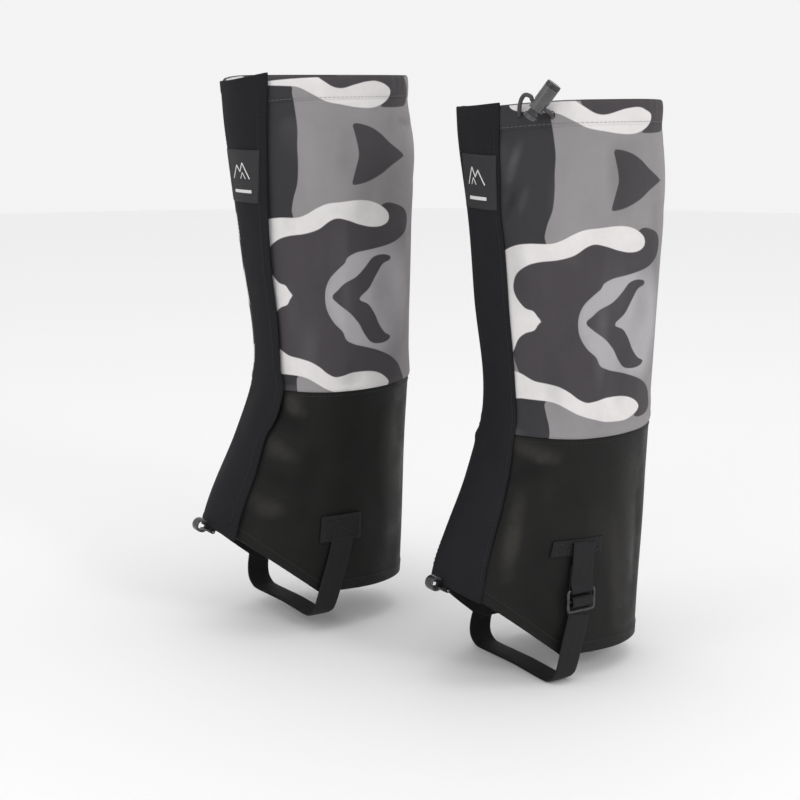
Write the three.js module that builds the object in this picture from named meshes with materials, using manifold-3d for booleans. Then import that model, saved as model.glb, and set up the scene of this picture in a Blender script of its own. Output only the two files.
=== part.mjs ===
// A pair of knee-high hiking gaiters, standing as if worn, one per leg and mirrored.
// Each gaiter is built once in its own leg frame: +X lateral (away from the other leg),
// +Y forward to the toes, +Z up, millimetres. Two groups then place and mirror it, so that
// in the pair's frame the toes point to -Y and the wearer's left is +X.
import * as THREE from "three";
import { mergeVertices } from "three/addons/utils/BufferGeometryUtils.js";
import Module from "manifold-3d";

const wasm = await Module();
wasm.setup();

// ---- Driving dimensions (mm and degrees) ----
const RIM_HEIGHT = 434; // top of the cuff above the underside of the instep strap
const RIM_DIP = 5; // how much lower the rim is at the shin than at the sides
const SEAM_HEIGHT = 189; // where the printed upper meets the coated lower panel
const CASING_HEIGHT = 18; // height of the drawcord channel round the rim
const CHANNEL = 4.6; // clear width inside that channel
const CLOTH = 1.2; // thickness of every cloth wall
const GAP = 0.35; // clearance between neighbouring layers
const TAPE = 0.8; // thickness of the hook tape and of the loop tape
const SLIT = { from: 4, to: 6 }; // the front opening, under the flap
const BEND_ANGLES = Array.from({ length: 42 }, (_, k) => 12 * (k - 6)); // facets round the leg
const BEND_LEVELS = [104, 120, 136, 152, 170, 189, 208, 230, 255, 290, 330, 370, 404];

// Half sizes of the leg section at a few heights; a smooth curve runs between them.
const FRONT_REACH = [[0, 112], [79, 100], [150, 66.5], [205, 50], [290, 58.5], [390, 71], [434, 74]];
const BACK_REACH = [[0, 73], [95, 77.5], [240, 82], [340, 83], [434, 76]];
const HALF_WIDTH = [[0, 54], [98, 57], [189, 60], [300, 67], [434, 72]];

// The bottom hem is level round the heel and climbs to the lace hook in front of the strap.
const HEM = { heel: 17, strap: 22, strapAt: 30, slope: 0.8, tip: 79 };

// The storm flap: its sewn lateral edge and its free medial edge, as angles from the shin.
const FLAP_SEWN_EDGE = [[79, 22], [189, 12], [434, 16]];
const FLAP_FREE_EDGE = [[79, -31], [189, -31], [434, -29]];
const FLAP_RISE = 2.5; // how far the flap stands above the rim
const TAPE_ANGLES = { from: -24, to: -1 };
const LABEL = { from: -22, to: 10, thickness: 0.7, left: [355, 394], right: [339, 380] };

const CORD_RADIUS = 1.5;
const CORD_HOLE_RADIUS = 2.1; // through the lock
const CORD_EXIT_RADIUS = 2.6; // through the cuff
const LOCK = { offset: 9.5, lean: 36, radius: 5.5, bore: 4.5 };
// Where each leg's lock sits, and the cord's outside points on the way in and out of it,
// each as an angle, a height and an offset. The right one hangs lower and further back.
const LOCK_SEATS = {
  left: {
    angle: 42,
    height: 430,
    rise: [[23.5, 424, -0.8], [26.5, 429, 4], [28, 436, 6], [31.5, 440.5, 8]],
    fall: [[51, 420, 7], [54.5, 420, 1]],
  },
  right: {
    angle: 78,
    height: 413,
    rise: [[58.5, 424, -0.8], [61.5, 425, 4], [64, 424, 7], [67.5, 421, 9]],
    fall: [[89, 413, 6.5], [92.5, 420.5, 1.2]],
  },
};
const LOCK_ENDS = { cap: 18, boreEnd: 15.5, mouth: -4 };
const PLUNGER = { radius: 4.1, top: 4.5, head: 5.2, headTop: -8, bottom: -11.6, slot: 4 };
const SPRING = { radius: 3.2, wire: 0.5, from: 9.1, to: 14.8, turns: 4 };

const STRAP = { width: 20, thickness: 1.6 };
const BUCKLE = { width: 26, height: 18, thick: 2.4, side: 2.4, bar: 1.1, u: 61.2, v: 19.5, z: 74.5 };
const PATCH = { from: 63, to: 91, low: 100, high: 112, thickness: 1 };
const MEDIAL_PATCH = { width: 23, low: 64, high: 86, thickness: 1 };
const HOOK = { radius: 5.6, strip: 2, width: 9, bar: 1.1 };

// Where the two gaiters stand: a short stride apart, the wearer's right foot leading.
const STANCE = { sideways: 99, stride: 47.5, rightLift: 12 };

const radians = THREE.MathUtils.degToRad;
const mix = THREE.MathUtils.lerp;

// ---- The leg surface ----

// Smooth curve through [position, value] knots, flat beyond both ends.
function curveThrough(knots, at) {
  const last = knots.length - 1;
  if (at <= knots[0][0]) return knots[0][1];
  if (at >= knots[last][0]) return knots[last][1];
  const i = knots.findIndex(([position]) => position > at) - 1;
  const slope = (k) => {
    const [before, after] = [knots[Math.max(k - 1, 0)], knots[Math.min(k + 1, last)]];
    return (after[1] - before[1]) / (after[0] - before[0]);
  };
  const span = knots[i + 1][0] - knots[i][0];
  const t = (at - knots[i][0]) / span;
  const rise = (1 + 2 * t) * (1 - t) ** 2 * knots[i][1] + t * t * (3 - 2 * t) * knots[i + 1][1];
  return rise + span * (t * (1 - t) ** 2 * slope(i) - t * t * (1 - t) * slope(i + 1));
}

// The outside of the shell at an angle from the shin (positive to the lateral side) and a
// height, moved outwards by an offset along the section's own normal.
function legPoint(angle, height, offset = 0) {
  const [sin, cos] = [Math.sin(radians(angle)), Math.cos(radians(angle))];
  const reach = curveThrough(cos > 0 ? FRONT_REACH : BACK_REACH, height);
  const width = curveThrough(HALF_WIDTH, height);
  const normal = new THREE.Vector2(sin / width, cos / reach).normalize();
  return new THREE.Vector3(width * sin + offset * normal.x, reach * cos + offset * normal.y, height);
}

// Outward normal, and the level direction that runs from the shin round to the lateral side.
function legFrame(angle, height) {
  const outward = legPoint(angle, height, 1).sub(legPoint(angle, height));
  const along = new THREE.Vector3(outward.y, -outward.x, 0);
  return { outward, along };
}

function rimHeight(angle) {
  return RIM_HEIGHT - RIM_DIP * Math.max(0, Math.cos(radians(angle))) ** 4;
}

// Height of the bottom hem at an angle, found where the section meets the hem's side outline.
function hemHeight(angle) {
  let height = HEM.tip;
  for (let pass = 0; pass < 12; pass += 1) {
    const forward = legPoint(angle, height).y;
    const ahead = HEM.slope * (forward - HEM.strapAt);
    const behind = ((HEM.strap - HEM.heel) * (forward - HEM.strapAt)) / (HEM.strapAt + BACK_REACH[0][1]);
    const target = Math.min(HEM.tip, HEM.strap + Math.max(ahead, behind));
    height = mix(height, target, 0.6);
  }
  return height;
}

// ---- Solids ----

function steps(count, from = 0, to = 1) {
  return Array.from({ length: count + 1 }, (_, i) => mix(from, to, i / count));
}

// A closed sheet: place(across, up, offset) gives its points on the outer and the inner face.
function closedSheet(columns, rows, place, inner, outer) {
  const position = [];
  const index = [];
  for (const offset of [outer, inner])
    for (const up of rows) for (const across of columns) position.push(...place(across, up, offset));
  const wide = columns.length;
  const face = wide * rows.length;
  for (let j = 0; j + 1 < rows.length; j += 1)
    for (let i = 0; i + 1 < wide; i += 1) {
      const [a, b] = [j * wide + i, (j + 1) * wide + i];
      index.push(a, b, b + 1, a, b + 1, a + 1);
      index.push(face + a, face + b + 1, face + b, face + a, face + a + 1, face + b + 1);
    }
  const top = (rows.length - 1) * wide;
  const edge = [
    ...rows.slice(1).map((_, j) => j * wide),
    ...columns.slice(1).map((_, i) => top + i),
    ...rows.slice(1).map((_, j) => top + wide - 1 - j * wide),
    ...columns.slice(1).map((_, i) => wide - 1 - i),
  ];
  edge.forEach((p, k) => {
    const q = edge[(k + 1) % edge.length];
    index.push(q, p, face + p, q, face + p, face + q);
  });
  const geometry = new THREE.BufferGeometry();
  geometry.setAttribute("position", new THREE.Float32BufferAttribute(position, 3));
  geometry.setIndex(index);
  return geometry;
}

// Cloth that follows the leg between two offsets. Columns are angles, or shares of the way
// across for a piece whose edges wander; rows are heights, or functions of the angle.
// Every layer bends at the same angles and levels, so that stacked layers stay parallel.
function clothPanel({ columns, rows, angle = (column) => column, inner, outer }) {
  const place = (column, row, offset) => {
    const nominal = row === rows[0] ? HEM.tip : RIM_HEIGHT;
    const height = typeof row === "function" ? row(angle(column, nominal)) : row;
    return legPoint(angle(column, height), height, offset);
  };
  return closedSheet(columns, rows, place, inner, outer);
}

const bends = (from, to) => [from, ...BEND_ANGLES.filter((a) => a > from + 1 && a < to - 1), to];
const levels = (from, to) => BEND_LEVELS.filter((level) => level > from && level < to);

// A flat band of the given width (along the toe direction) whose middle follows points.
function ribbon(points, width, thickness) {
  const rows = points.map((_, k) => k);
  const place = (across, k, offset) => {
    const before = points[Math.max(k - 1, 0)];
    const after = points[Math.min(k + 1, points.length - 1)];
    const run = new THREE.Vector2(after.x - before.x, after.z - before.z).normalize();
    const { x, y, z } = points[k];
    return [x - run.y * offset, y + (across - 0.5) * width, z + run.x * offset];
  };
  return closedSheet([0, 1], rows, place, -thickness / 2, thickness / 2);
}

// The outline of a strip of even thickness along points, as a shape.
function stripShape(points, thickness) {
  const side = (sign) =>
    points.map((point, k) => {
      const before = points[Math.max(k - 1, 0)];
      const after = points[Math.min(k + 1, points.length - 1)];
      const run = after.clone().sub(before).normalize();
      return new THREE.Vector2(-run.y, run.x).multiplyScalar((sign * thickness) / 2).add(point);
    });
  return new THREE.Shape([...side(-1), ...side(1).reverse()]);
}

// A side-view outline drawn in (first axis, up) extruded along the other level axis.
function extrudeAcross(shape, width, { drawnIn }) {
  const geometry = new THREE.ExtrudeGeometry(shape, { depth: width, bevelEnabled: false, curveSegments: 8 });
  geometry.translate(0, 0, -width / 2);
  geometry.rotateX(Math.PI / 2);
  if (drawnIn === "forward") geometry.rotateZ(Math.PI / 2);
  return geometry;
}

function tubeAlong(curve, radius, sides, count) {
  const section = new THREE.Shape(
    steps(sides - 1, 0, 1 - 1 / sides).map(
      (turn) => new THREE.Vector2(radius * Math.cos(2 * Math.PI * turn), radius * Math.sin(2 * Math.PI * turn)),
    ),
  );
  return new THREE.ExtrudeGeometry(section, { extrudePath: curve, steps: count, bevelEnabled: false });
}

function solidFrom(geometry) {
  const bare = new THREE.BufferGeometry();
  bare.setAttribute("position", geometry.getAttribute("position").clone());
  if (geometry.index) bare.setIndex(geometry.index.clone());
  const merged = mergeVertices(bare, 1e-4);
  return new wasm.Manifold(
    new wasm.Mesh({
      numProp: 3,
      vertProperties: new Float32Array(merged.getAttribute("position").array),
      triVerts: new Uint32Array(merged.index.array),
    }),
  );
}

function geometryFrom(solid) {
  const { vertProperties, triVerts } = solid.getMesh();
  const geometry = new THREE.BufferGeometry();
  geometry.setAttribute("position", new THREE.BufferAttribute(new Float32Array(vertProperties), 3));
  geometry.setIndex(new THREE.BufferAttribute(new Uint32Array(triVerts), 1));
  return geometry;
}

// ---- Materials ----

function cloth(colour, roughness = 0.85) {
  return new THREE.MeshStandardMaterial({ color: colour, roughness, metalness: 0 });
}
const PRINTED_CLOTH = cloth(0x9a979a);
const COATED_CLOTH = cloth(0x1c1b1c, 0.6);
const FLAP_CLOTH = cloth(0x232325, 0.75);
const BLACK_TAPE = cloth(0x151516, 0.95);
const WEBBING = cloth(0x18181a);
const LABEL_CLOTH = cloth(0x2b2b2d, 0.8);
const CORD = cloth(0x454548, 0.8);
const GREY_PLASTIC = new THREE.MeshStandardMaterial({ color: 0x6c6c70, roughness: 0.35, metalness: 0 });
const BLACK_PLASTIC = new THREE.MeshStandardMaterial({ color: 0x1a1a1c, roughness: 0.45, metalness: 0 });
const DARK_METAL = new THREE.MeshStandardMaterial({ color: 0x3c3b3e, roughness: 0.35, metalness: 1 });
const SPRING_STEEL = new THREE.MeshStandardMaterial({ color: 0xa0a0a4, roughness: 0.3, metalness: 1 });

function piece(name, geometry, material) {
  const mesh = new THREE.Mesh(geometry, material);
  mesh.name = name;
  return mesh;
}

// ---- Cloth pieces ----

const shellColumns = bends(SLIT.to, SLIT.from + 360);

function upperShell() {
  const geometry = clothPanel({
    columns: shellColumns,
    rows: [
      SEAM_HEIGHT + GAP / 2,
      ...levels(SEAM_HEIGHT, RIM_HEIGHT),
      (angle) => rimHeight(angle) - CASING_HEIGHT - GAP,
    ],
    inner: -CLOTH,
    outer: 0,
  });
  return piece("upper_shell", geometry, PRINTED_CLOTH);
}

function lowerShell() {
  const geometry = clothPanel({
    columns: shellColumns,
    rows: [
      hemHeight,
      (angle) => mix(hemHeight(angle), BEND_LEVELS[0], 0.5),
      ...levels(HEM.tip, SEAM_HEIGHT),
      SEAM_HEIGHT - GAP / 2,
    ],
    inner: -CLOTH,
    outer: 0,
  });
  return piece("lower_shell", geometry, COATED_CLOTH);
}

function frontFlap() {
  const inner = 3 * GAP + 2 * TAPE;
  const geometry = clothPanel({
    columns: steps(7),
    rows: [
      (angle) => hemHeight(angle) - 1,
      (angle) => mix(hemHeight(angle), BEND_LEVELS[0], 0.5),
      ...levels(HEM.tip, RIM_HEIGHT),
      (angle) => rimHeight(angle) + FLAP_RISE,
    ],
    angle: (across, height) =>
      mix(curveThrough(FLAP_FREE_EDGE, height), curveThrough(FLAP_SEWN_EDGE, height), across),
    inner,
    outer: inner + CLOTH,
  });
  return piece("front_flap", geometry, FLAP_CLOTH);
}

function closureTape(name, inner) {
  const geometry = clothPanel({
    columns: bends(TAPE_ANGLES.from, TAPE_ANGLES.to),
    rows: BEND_LEVELS,
    inner,
    outer: inner + TAPE,
  });
  return piece(name, geometry, BLACK_TAPE);
}

function wovenLabel(side) {
  const [low, high] = LABEL[side];
  const inner = 4 * GAP + 2 * TAPE + CLOTH;
  const geometry = clothPanel({
    columns: steps(4, LABEL.from, LABEL.to),
    rows: [low, ...levels(low, high), high],
    inner,
    outer: inner + LABEL.thickness,
  });
  return piece("woven_label", geometry, LABEL_CLOTH);
}

function bucklePatch() {
  const geometry = clothPanel({
    columns: bends(PATCH.from, PATCH.to),
    rows: [PATCH.low, ...levels(PATCH.low, PATCH.high), PATCH.high],
    inner: GAP,
    outer: GAP + PATCH.thickness,
  });
  return piece("buckle_patch", geometry, WEBBING);
}

// ---- Drawcord, its channel and its lock ----

// Centre of a leg's lock, its barrel's axis, which leans back along the rim, and the
// direction of the cord, which passes square through it.
function lockPlace(side) {
  const { angle, height } = LOCK_SEATS[side];
  const { along } = legFrame(angle, height);
  const up = new THREE.Vector3(0, 0, 1);
  const [sin, cos] = [Math.sin(radians(LOCK.lean)), Math.cos(radians(LOCK.lean))];
  return {
    centre: legPoint(angle, height, LOCK.offset),
    axis: up.clone().multiplyScalar(cos).addScaledVector(along, sin),
    run: along.clone().multiplyScalar(cos).addScaledVector(up, -sin),
  };
}

const channel = (angle) => legPoint(angle, rimHeight(angle) - CASING_HEIGHT / 2, -CLOTH - CHANNEL / 2 - 0.2);
// Where the cord passes through the cuff, in front of the lock and behind it.
function cordExits(side) {
  const { rise, fall } = LOCK_SEATS[side];
  return [
    [channel(rise[0][0] - 4.5), legPoint(...rise[0]), legPoint(...rise[1])],
    [legPoint(...fall[0]), legPoint(...fall[1]), channel(fall[1][0] + 4.5)],
  ];
}
const smoothThrough = (points) => new THREE.CatmullRomCurve3(points, false, "centripetal");

// Route of the cord: from the front end of the channel, out through the cuff, over in a
// short loop, through the lock, back in, and round the leg to the other end of the channel.
function cordRoute(side) {
  const { rise, fall } = LOCK_SEATS[side];
  const { centre, run } = lockPlace(side);
  const insideLock = [-8, -4, 0, 4, 8].map((along) => centre.clone().addScaledVector(run, along));
  const beforeLock = steps(Math.round((rise[0][0] - 9.5 - 7.5) / 7), 7.5, rise[0][0] - 9.5).map(channel);
  const roundTheLeg = steps(19, fall[1][0] + 9.5, 362.5).map(channel);
  const [first, second] = cordExits(side);
  return smoothThrough([
    ...beforeLock,
    ...first,
    ...rise.slice(2).map((spot) => legPoint(...spot)),
    ...insideLock,
    ...second,
    ...roundTheLeg,
  ]);
}

function drawcord(side) {
  return piece("drawcord", tubeAlong(cordRoute(side), CORD_RADIUS, 8, 72), CORD);
}

// The rim channel: a folded hem with a hollow for the cord and two slots where it comes out.
function cuffCasing(side) {
  const block = clothPanel({
    columns: shellColumns,
    rows: [(angle) => rimHeight(angle) - CASING_HEIGHT, rimHeight],
    inner: -2 * CLOTH - CHANNEL,
    outer: 0,
  });
  const hollow = clothPanel({
    columns: [SLIT.to - 0.9, ...shellColumns, SLIT.from + 360.9],
    rows: [
      (angle) => rimHeight(angle) - CASING_HEIGHT + CLOTH,
      (angle) => rimHeight(angle) - CLOTH,
    ],
    inner: -CLOTH - CHANNEL,
    outer: -CLOTH,
  });
  let solid = solidFrom(block).subtract(solidFrom(hollow));
  for (const exit of cordExits(side)) {
    solid = solid.subtract(solidFrom(tubeAlong(smoothThrough(exit), CORD_EXIT_RADIUS, 8, 8)));
  }
  return piece("cuff_casing", geometryFrom(solid), PRINTED_CLOTH);
}

// The lock is turned from profiles whose +Y is the barrel's axis and whose +X is the cord.
function lockGroup(side) {
  const group = new THREE.Group();
  const { centre, axis, run } = lockPlace(side);
  group.matrix.makeBasis(run, axis, new THREE.Vector3().crossVectors(run, axis)).setPosition(centre);
  group.matrix.decompose(group.position, group.quaternion, group.scale);
  group.add(lockBarrel(), lockPlunger(), lockSpring());
  return group;
}

function turned(profile, sides) {
  return new THREE.LatheGeometry(profile.map(([r, y]) => new THREE.Vector2(r, y)), sides);
}

// A straight slot along +X, round-ended, from one height of the barrel to another.
function crossSlot(low, high) {
  const shape = new THREE.Shape();
  shape.absarc(0, high, CORD_HOLE_RADIUS, 0, Math.PI, false);
  shape.absarc(0, low, CORD_HOLE_RADIUS, Math.PI, 2 * Math.PI, false);
  const geometry = new THREE.ExtrudeGeometry(shape, { depth: 16, bevelEnabled: false, curveSegments: 6 });
  geometry.translate(0, 0, -8);
  geometry.rotateY(Math.PI / 2);
  return geometry;
}

function lockBarrel() {
  const { cap, boreEnd, mouth } = LOCK_ENDS;
  const profile = [
    [0, boreEnd],
    [LOCK.bore, boreEnd],
    [LOCK.bore, mouth],
    [LOCK.radius, mouth],
    [LOCK.radius, cap - 0.8],
    [LOCK.radius - 0.8, cap],
    [0, cap],
  ];
  const solid = solidFrom(turned(profile, 20)).subtract(solidFrom(crossSlot(-0.01, 0.01)));
  return piece("cord_lock_barrel", geometryFrom(solid), GREY_PLASTIC);
}

function lockPlunger() {
  const { radius, top, head, headTop, bottom, slot } = PLUNGER;
  const profile = [
    [0, bottom],
    [head - 0.6, bottom],
    [head, bottom + 0.6],
    [head, headTop],
    [radius, headTop],
    [radius, top],
    [0, top],
  ];
  const solid = solidFrom(turned(profile, 20)).subtract(solidFrom(crossSlot(-slot, 0)));
  return piece("cord_lock_plunger", geometryFrom(solid), BLACK_PLASTIC);
}

function lockSpring() {
  const { radius, wire, from, to, turns } = SPRING;
  class Helix extends THREE.Curve {
    getPoint(t, target = new THREE.Vector3()) {
      const turn = 2 * Math.PI * turns * t;
      return target.set(radius * Math.cos(turn), mix(from, to, t), radius * Math.sin(turn));
    }
  }
  return piece("cord_lock_spring", tubeAlong(new Helix(), wire, 5, 10 * turns), SPRING_STEEL);
}

// ---- Lace hook at the front of the hem ----

const hookBar = new THREE.Vector2(legPoint(0, HEM.tip).y + 2.5, HEM.tip - 5.5);

// Outline of a webbing loop round a bar at the origin, with its two layers sewn together
// and ending at the given point.
function loopShape(bar, end, radius, thickness) {
  const shape = new THREE.Shape();
  const run = end.clone().sub(bar).normalize();
  const heading = Math.atan2(run.y, run.x);
  const outer = radius + GAP + 1.1;
  const opening = Math.asin(thickness / 2 / outer);
  const side = new THREE.Vector2(-run.y, run.x).multiplyScalar(thickness / 2);
  shape.absarc(bar.x, bar.y, outer, heading + opening, heading - opening + 2 * Math.PI, false);
  shape.lineTo(end.x - side.x, end.y - side.y);
  shape.lineTo(end.x + side.x, end.y + side.y);
  const hole = new THREE.Path();
  hole.absarc(bar.x, bar.y, radius + GAP, 0, 2 * Math.PI, true);
  shape.holes.push(hole);
  return shape;
}

// The webbing tab that holds the hook: sewn to the shell's hem under the flap.
function hookTab() {
  const sewn = 16;
  const foot = legPoint(0, HEM.tip + 1, 2 * GAP + 0.5);
  const head = legPoint(0, HEM.tip + sewn, 2 * GAP + 0.5);
  const strip = stripShape([new THREE.Vector2(foot.y, foot.z - 2), new THREE.Vector2(head.y, head.z)], 1);
  const loop = loopShape(hookBar, new THREE.Vector2(foot.y, foot.z), HOOK.bar, 1);
  const solid = solidFrom(extrudeAcross(strip, 11.5, { drawnIn: "forward" })).add(
    solidFrom(extrudeAcross(loop, 11.5, { drawnIn: "forward" })),
  );
  return piece("hook_tab", geometryFrom(solid), WEBBING);
}

// The hook: a bar in the tab, two arms past the tab's ends and a curled strip ahead of it.
function laceHook() {
  const { radius, strip, width, bar } = HOOK;
  const centre = new THREE.Vector2(hookBar.x + 8, hookBar.y + 5.5);
  const middle = radius - strip / 2;
  const curl = steps(14, 225, 500).map(
    (turn) =>
      new THREE.Vector2(middle * Math.cos(radians(turn)), middle * Math.sin(radians(turn))).add(centre),
  );
  const curled = solidFrom(extrudeAcross(stripShape(curl, strip), width, { drawnIn: "forward" }));
  const barSolid = new THREE.CylinderGeometry(bar, bar, 15.5, 10).rotateZ(Math.PI / 2);
  barSolid.translate(0, hookBar.x, hookBar.y);
  const arm = stripShape([hookBar.clone().add(new THREE.Vector2(-0.6, -0.4)), curl[1]], 2);
  let solid = curled.add(solidFrom(barSolid));
  for (const side of [-1, 1]) {
    const plate = extrudeAcross(arm, 1.6, { drawnIn: "forward" }).translate(side * 6.95, 0, 0);
    solid = solid.add(solidFrom(plate));
  }
  const bridge = new THREE.Shape([
    new THREE.Vector2(centre.x - 5, centre.y - 5.2),
    new THREE.Vector2(centre.x - 2.6, centre.y - 5.2),
    new THREE.Vector2(centre.x - 2.6, centre.y - 3.2),
    new THREE.Vector2(centre.x - 4.2, centre.y - 2.6),
  ]);
  solid = solid.add(solidFrom(extrudeAcross(bridge, 15.5, { drawnIn: "forward" })));
  return piece("lace_hook", geometryFrom(solid), DARK_METAL);
}

// ---- Instep strap, its buckle and its patches ----

function buckleTab() {
  const bar = new THREE.Vector2(BUCKLE.u, BUCKLE.z);
  const end = new THREE.Vector2(BUCKLE.u - 0.6, PATCH.high - 3);
  const geometry = extrudeAcross(loopShape(bar, end, BUCKLE.bar, 2), STRAP.width, { drawnIn: "sideways" });
  return piece("buckle_tab", geometry.translate(0, BUCKLE.v, 0), WEBBING);
}

// A three-bar slide: round top bar for the tab, a middle bar and a bottom bar for the strap.
function strapBuckle() {
  const { width, height, thick, side, bar, u, v, z } = BUCKLE;
  const top = z + bar;
  const box = (sizeV, sizeZ, atV, atZ) =>
    solidFrom(new THREE.BoxGeometry(thick, sizeV, sizeZ).translate(u, v + atV, atZ));
  let solid = solidFrom(new THREE.CylinderGeometry(bar, bar, width - side, 12).translate(u, v, z));
  for (const end of [-1, 1]) solid = solid.add(box(side, height, (end * (width - side)) / 2, top - height / 2));
  solid = solid.add(box(width - side, 2.2, 0, top - height + 1.1));
  solid = solid.add(box(width - side, 2.6, 0, top - height + 8.3));
  return piece("strap_buckle", geometryFrom(solid), BLACK_PLASTIC);
}

// The strap's adjusting end, threaded up behind the bottom bar, over the middle bar and back.
function strapLoop() {
  const { u, v, z } = BUCKLE;
  const route = [
    [-3.9, -18],
    [-3.9, -8],
    [-2.9, -5.6],
    [0, -5.1],
    [2.1, -6.1],
    [2.7, -8.7],
    [2.1, -11.3],
    [0, -12.4],
    [-1.6, -13.4],
    [-2.2, -16],
    [-2.2, -20],
  ].map(([du, dz]) => new THREE.Vector2(u + du, z + dz));
  const geometry = extrudeAcross(stripShape(route, 1.4), STRAP.width - 1, { drawnIn: "sideways" });
  return piece("strap_loop", geometry.translate(0, v, 0), WEBBING);
}

// From the buckle down the lateral side, under the boot and up to the medial patch.
function instepStrap() {
  const top = BUCKLE.z - 20.6;
  const under = STRAP.thickness / 2;
  const points = [
    [59, BUCKLE.v, top],
    [59, 22.5, 42],
    [58.7, 25.5, 30],
    [57.8, 28, 17],
    [54.6, 29, 8],
    [48.5, 29, 2.6],
    [41, 29, under],
    [0, 27, under],
    [-41, 28, under],
    [-48.5, 28, 2.6],
    [-54.6, 27.5, 8],
    [-57.4, 25.5, 17],
    [-57.6, 20.5, 32],
    [-57.6, 14.5, 50],
    [-57.8, 9.5, 70],
    [-58, 8, 82],
  ].map(([u, v, z]) => new THREE.Vector3(u, v, z));
  return piece("instep_strap", ribbon(points, STRAP.width, STRAP.thickness), WEBBING);
}

function strapPatch() {
  const { width, low, high, thickness } = MEDIAL_PATCH;
  const geometry = new THREE.BoxGeometry(thickness, width, high - low);
  geometry.translate(-59.4, 8.5, (low + high) / 2);
  return piece("strap_patch", geometry, WEBBING);
}

// ---- One gaiter, and the pair ----

function gaiter(side) {
  const group = new THREE.Group();
  group.add(upperShell(), lowerShell(), cuffCasing(side));
  group.add(frontFlap(), closureTape("hook_tape", GAP), closureTape("loop_tape", 2 * GAP + TAPE));
  group.add(wovenLabel(side), drawcord(side), lockGroup(side));
  group.add(hookTab(), laceHook());
  group.add(bucklePatch(), buckleTab(), strapBuckle(), strapLoop(), instepStrap(), strapPatch());
  return group;
}

const pair = new THREE.Group();
for (const [side, sign] of [["left", 1], ["right", -1]]) {
  const leg = gaiter(side);
  leg.scale.set(sign, -1, 1);
  leg.position.set(sign * STANCE.sideways, sign * STANCE.stride, side === "right" ? STANCE.rightLift : 0);
  leg.traverse((item) => {
    if (item.isMesh) item.name = `${side}_${item.name}`;
  });
  pair.add(leg);
}

export default pair;
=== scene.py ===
"""A pair of full-length hiking gaiters, shown as they stand on the legs.

Each gaiter is worked out in its own leg frame, in millimetres: u points away from the other leg, v
towards the toes and z up. Leg.place turns that frame into the shared one, in metres.
"""

from __future__ import annotations

import logging
import math
from dataclasses import dataclass, field
from enum import Enum
from functools import reduce

import bpy
import numpy as np
from mathutils import Matrix, Vector

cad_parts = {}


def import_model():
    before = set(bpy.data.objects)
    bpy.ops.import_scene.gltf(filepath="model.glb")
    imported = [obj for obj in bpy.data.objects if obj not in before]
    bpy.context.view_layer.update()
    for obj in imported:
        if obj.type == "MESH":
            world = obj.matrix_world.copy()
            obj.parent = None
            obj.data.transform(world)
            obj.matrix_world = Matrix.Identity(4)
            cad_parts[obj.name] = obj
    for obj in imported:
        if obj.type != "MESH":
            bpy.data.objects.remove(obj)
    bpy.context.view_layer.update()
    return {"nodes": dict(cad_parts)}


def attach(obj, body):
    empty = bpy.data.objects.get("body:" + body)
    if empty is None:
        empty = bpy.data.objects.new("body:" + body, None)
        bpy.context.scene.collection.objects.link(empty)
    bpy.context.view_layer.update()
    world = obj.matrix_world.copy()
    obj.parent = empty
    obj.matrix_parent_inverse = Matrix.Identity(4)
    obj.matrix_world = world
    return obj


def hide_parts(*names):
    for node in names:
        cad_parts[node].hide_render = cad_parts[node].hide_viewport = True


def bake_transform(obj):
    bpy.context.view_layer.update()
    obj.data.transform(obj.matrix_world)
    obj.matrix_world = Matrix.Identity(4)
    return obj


Array = np.ndarray
Knots = tuple[tuple[float, float], ...]
LOG = logging.getLogger("gaiters")
MM = 0.001
ARC_PER_DEGREE = 1.22  # millimetres of cloth round the leg for each degree
OPENING = (6.0, 364.0)  # degrees round the leg that the cloth spans; the front is open between them
ROOT = "worn_pair"


# ---- The legs and the form that the cloth takes round them ----


class Leg(Enum):
    """The leg that a gaiter is worn on."""

    LEFT = "left"
    RIGHT = "right"

    @property
    def sign(self) -> int:
        """1 on the wearer's left, which is +X, and -1 on the right."""
        return 1 if self is Leg.LEFT else -1

    @property
    def lift(self) -> float:
        """How far the leg is raised, in millimetres."""
        return 0.0 if self is Leg.LEFT else 12.0

    def name(self, part: str) -> str:
        """The name that a part has on this leg."""
        return f"{self.value}_{part}"

    def body(self, part: str) -> str:
        """The name of a moving body on this leg."""
        return f"{self.value}_{part}_body"

    def place(self, points: Array) -> Array:
        """Moves points of the leg frame into the shared frame.

        Args:
            points: u, v and z in millimetres, in the last axis.

        Returns:
            x, y and z in metres.
        """
        side_step, fore_step = 99.0, 47.5
        x = self.sign * (side_step + points[..., 0])
        y = self.sign * fore_step - points[..., 1]
        z = points[..., 2] + self.lift
        return np.stack([x, y, z], axis=-1) * MM

    def direction(self, vector: Array) -> Array:
        """Turns a direction of the leg frame into the shared frame, with its length kept."""
        return np.array([self.sign * vector[0], -vector[1], vector[2]])


def smooth_curve(knots: Knots, at: Array) -> Array:
    """Follows a curve through knots and stays flat beyond its ends.

    Between two knots it is the cubic whose slope at each knot is that of the line through the knot's
    neighbours.

    Args:
        knots: pairs of place and value, in rising order.
        at: the places to read.

    Returns:
        The value at each place.
    """
    place, value = np.array(knots, float).T
    before = np.maximum(np.arange(len(place)) - 1, 0)
    after = np.minimum(np.arange(len(place)) + 1, len(place) - 1)
    slope = (value[after] - value[before]) / (place[after] - place[before])
    index = np.clip(np.searchsorted(place, at, side="right") - 1, 0, len(place) - 2)
    gap = place[index + 1] - place[index]
    t = np.clip((at - place[index]) / gap, 0, 1)
    start = (2 * t**3 - 3 * t**2 + 1) * value[index] + (t**3 - 2 * t**2 + t) * slope[index] * gap
    end = (3 * t**2 - 2 * t**3) * value[index + 1] + (t**3 - t**2) * slope[index + 1] * gap
    return start + end


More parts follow.
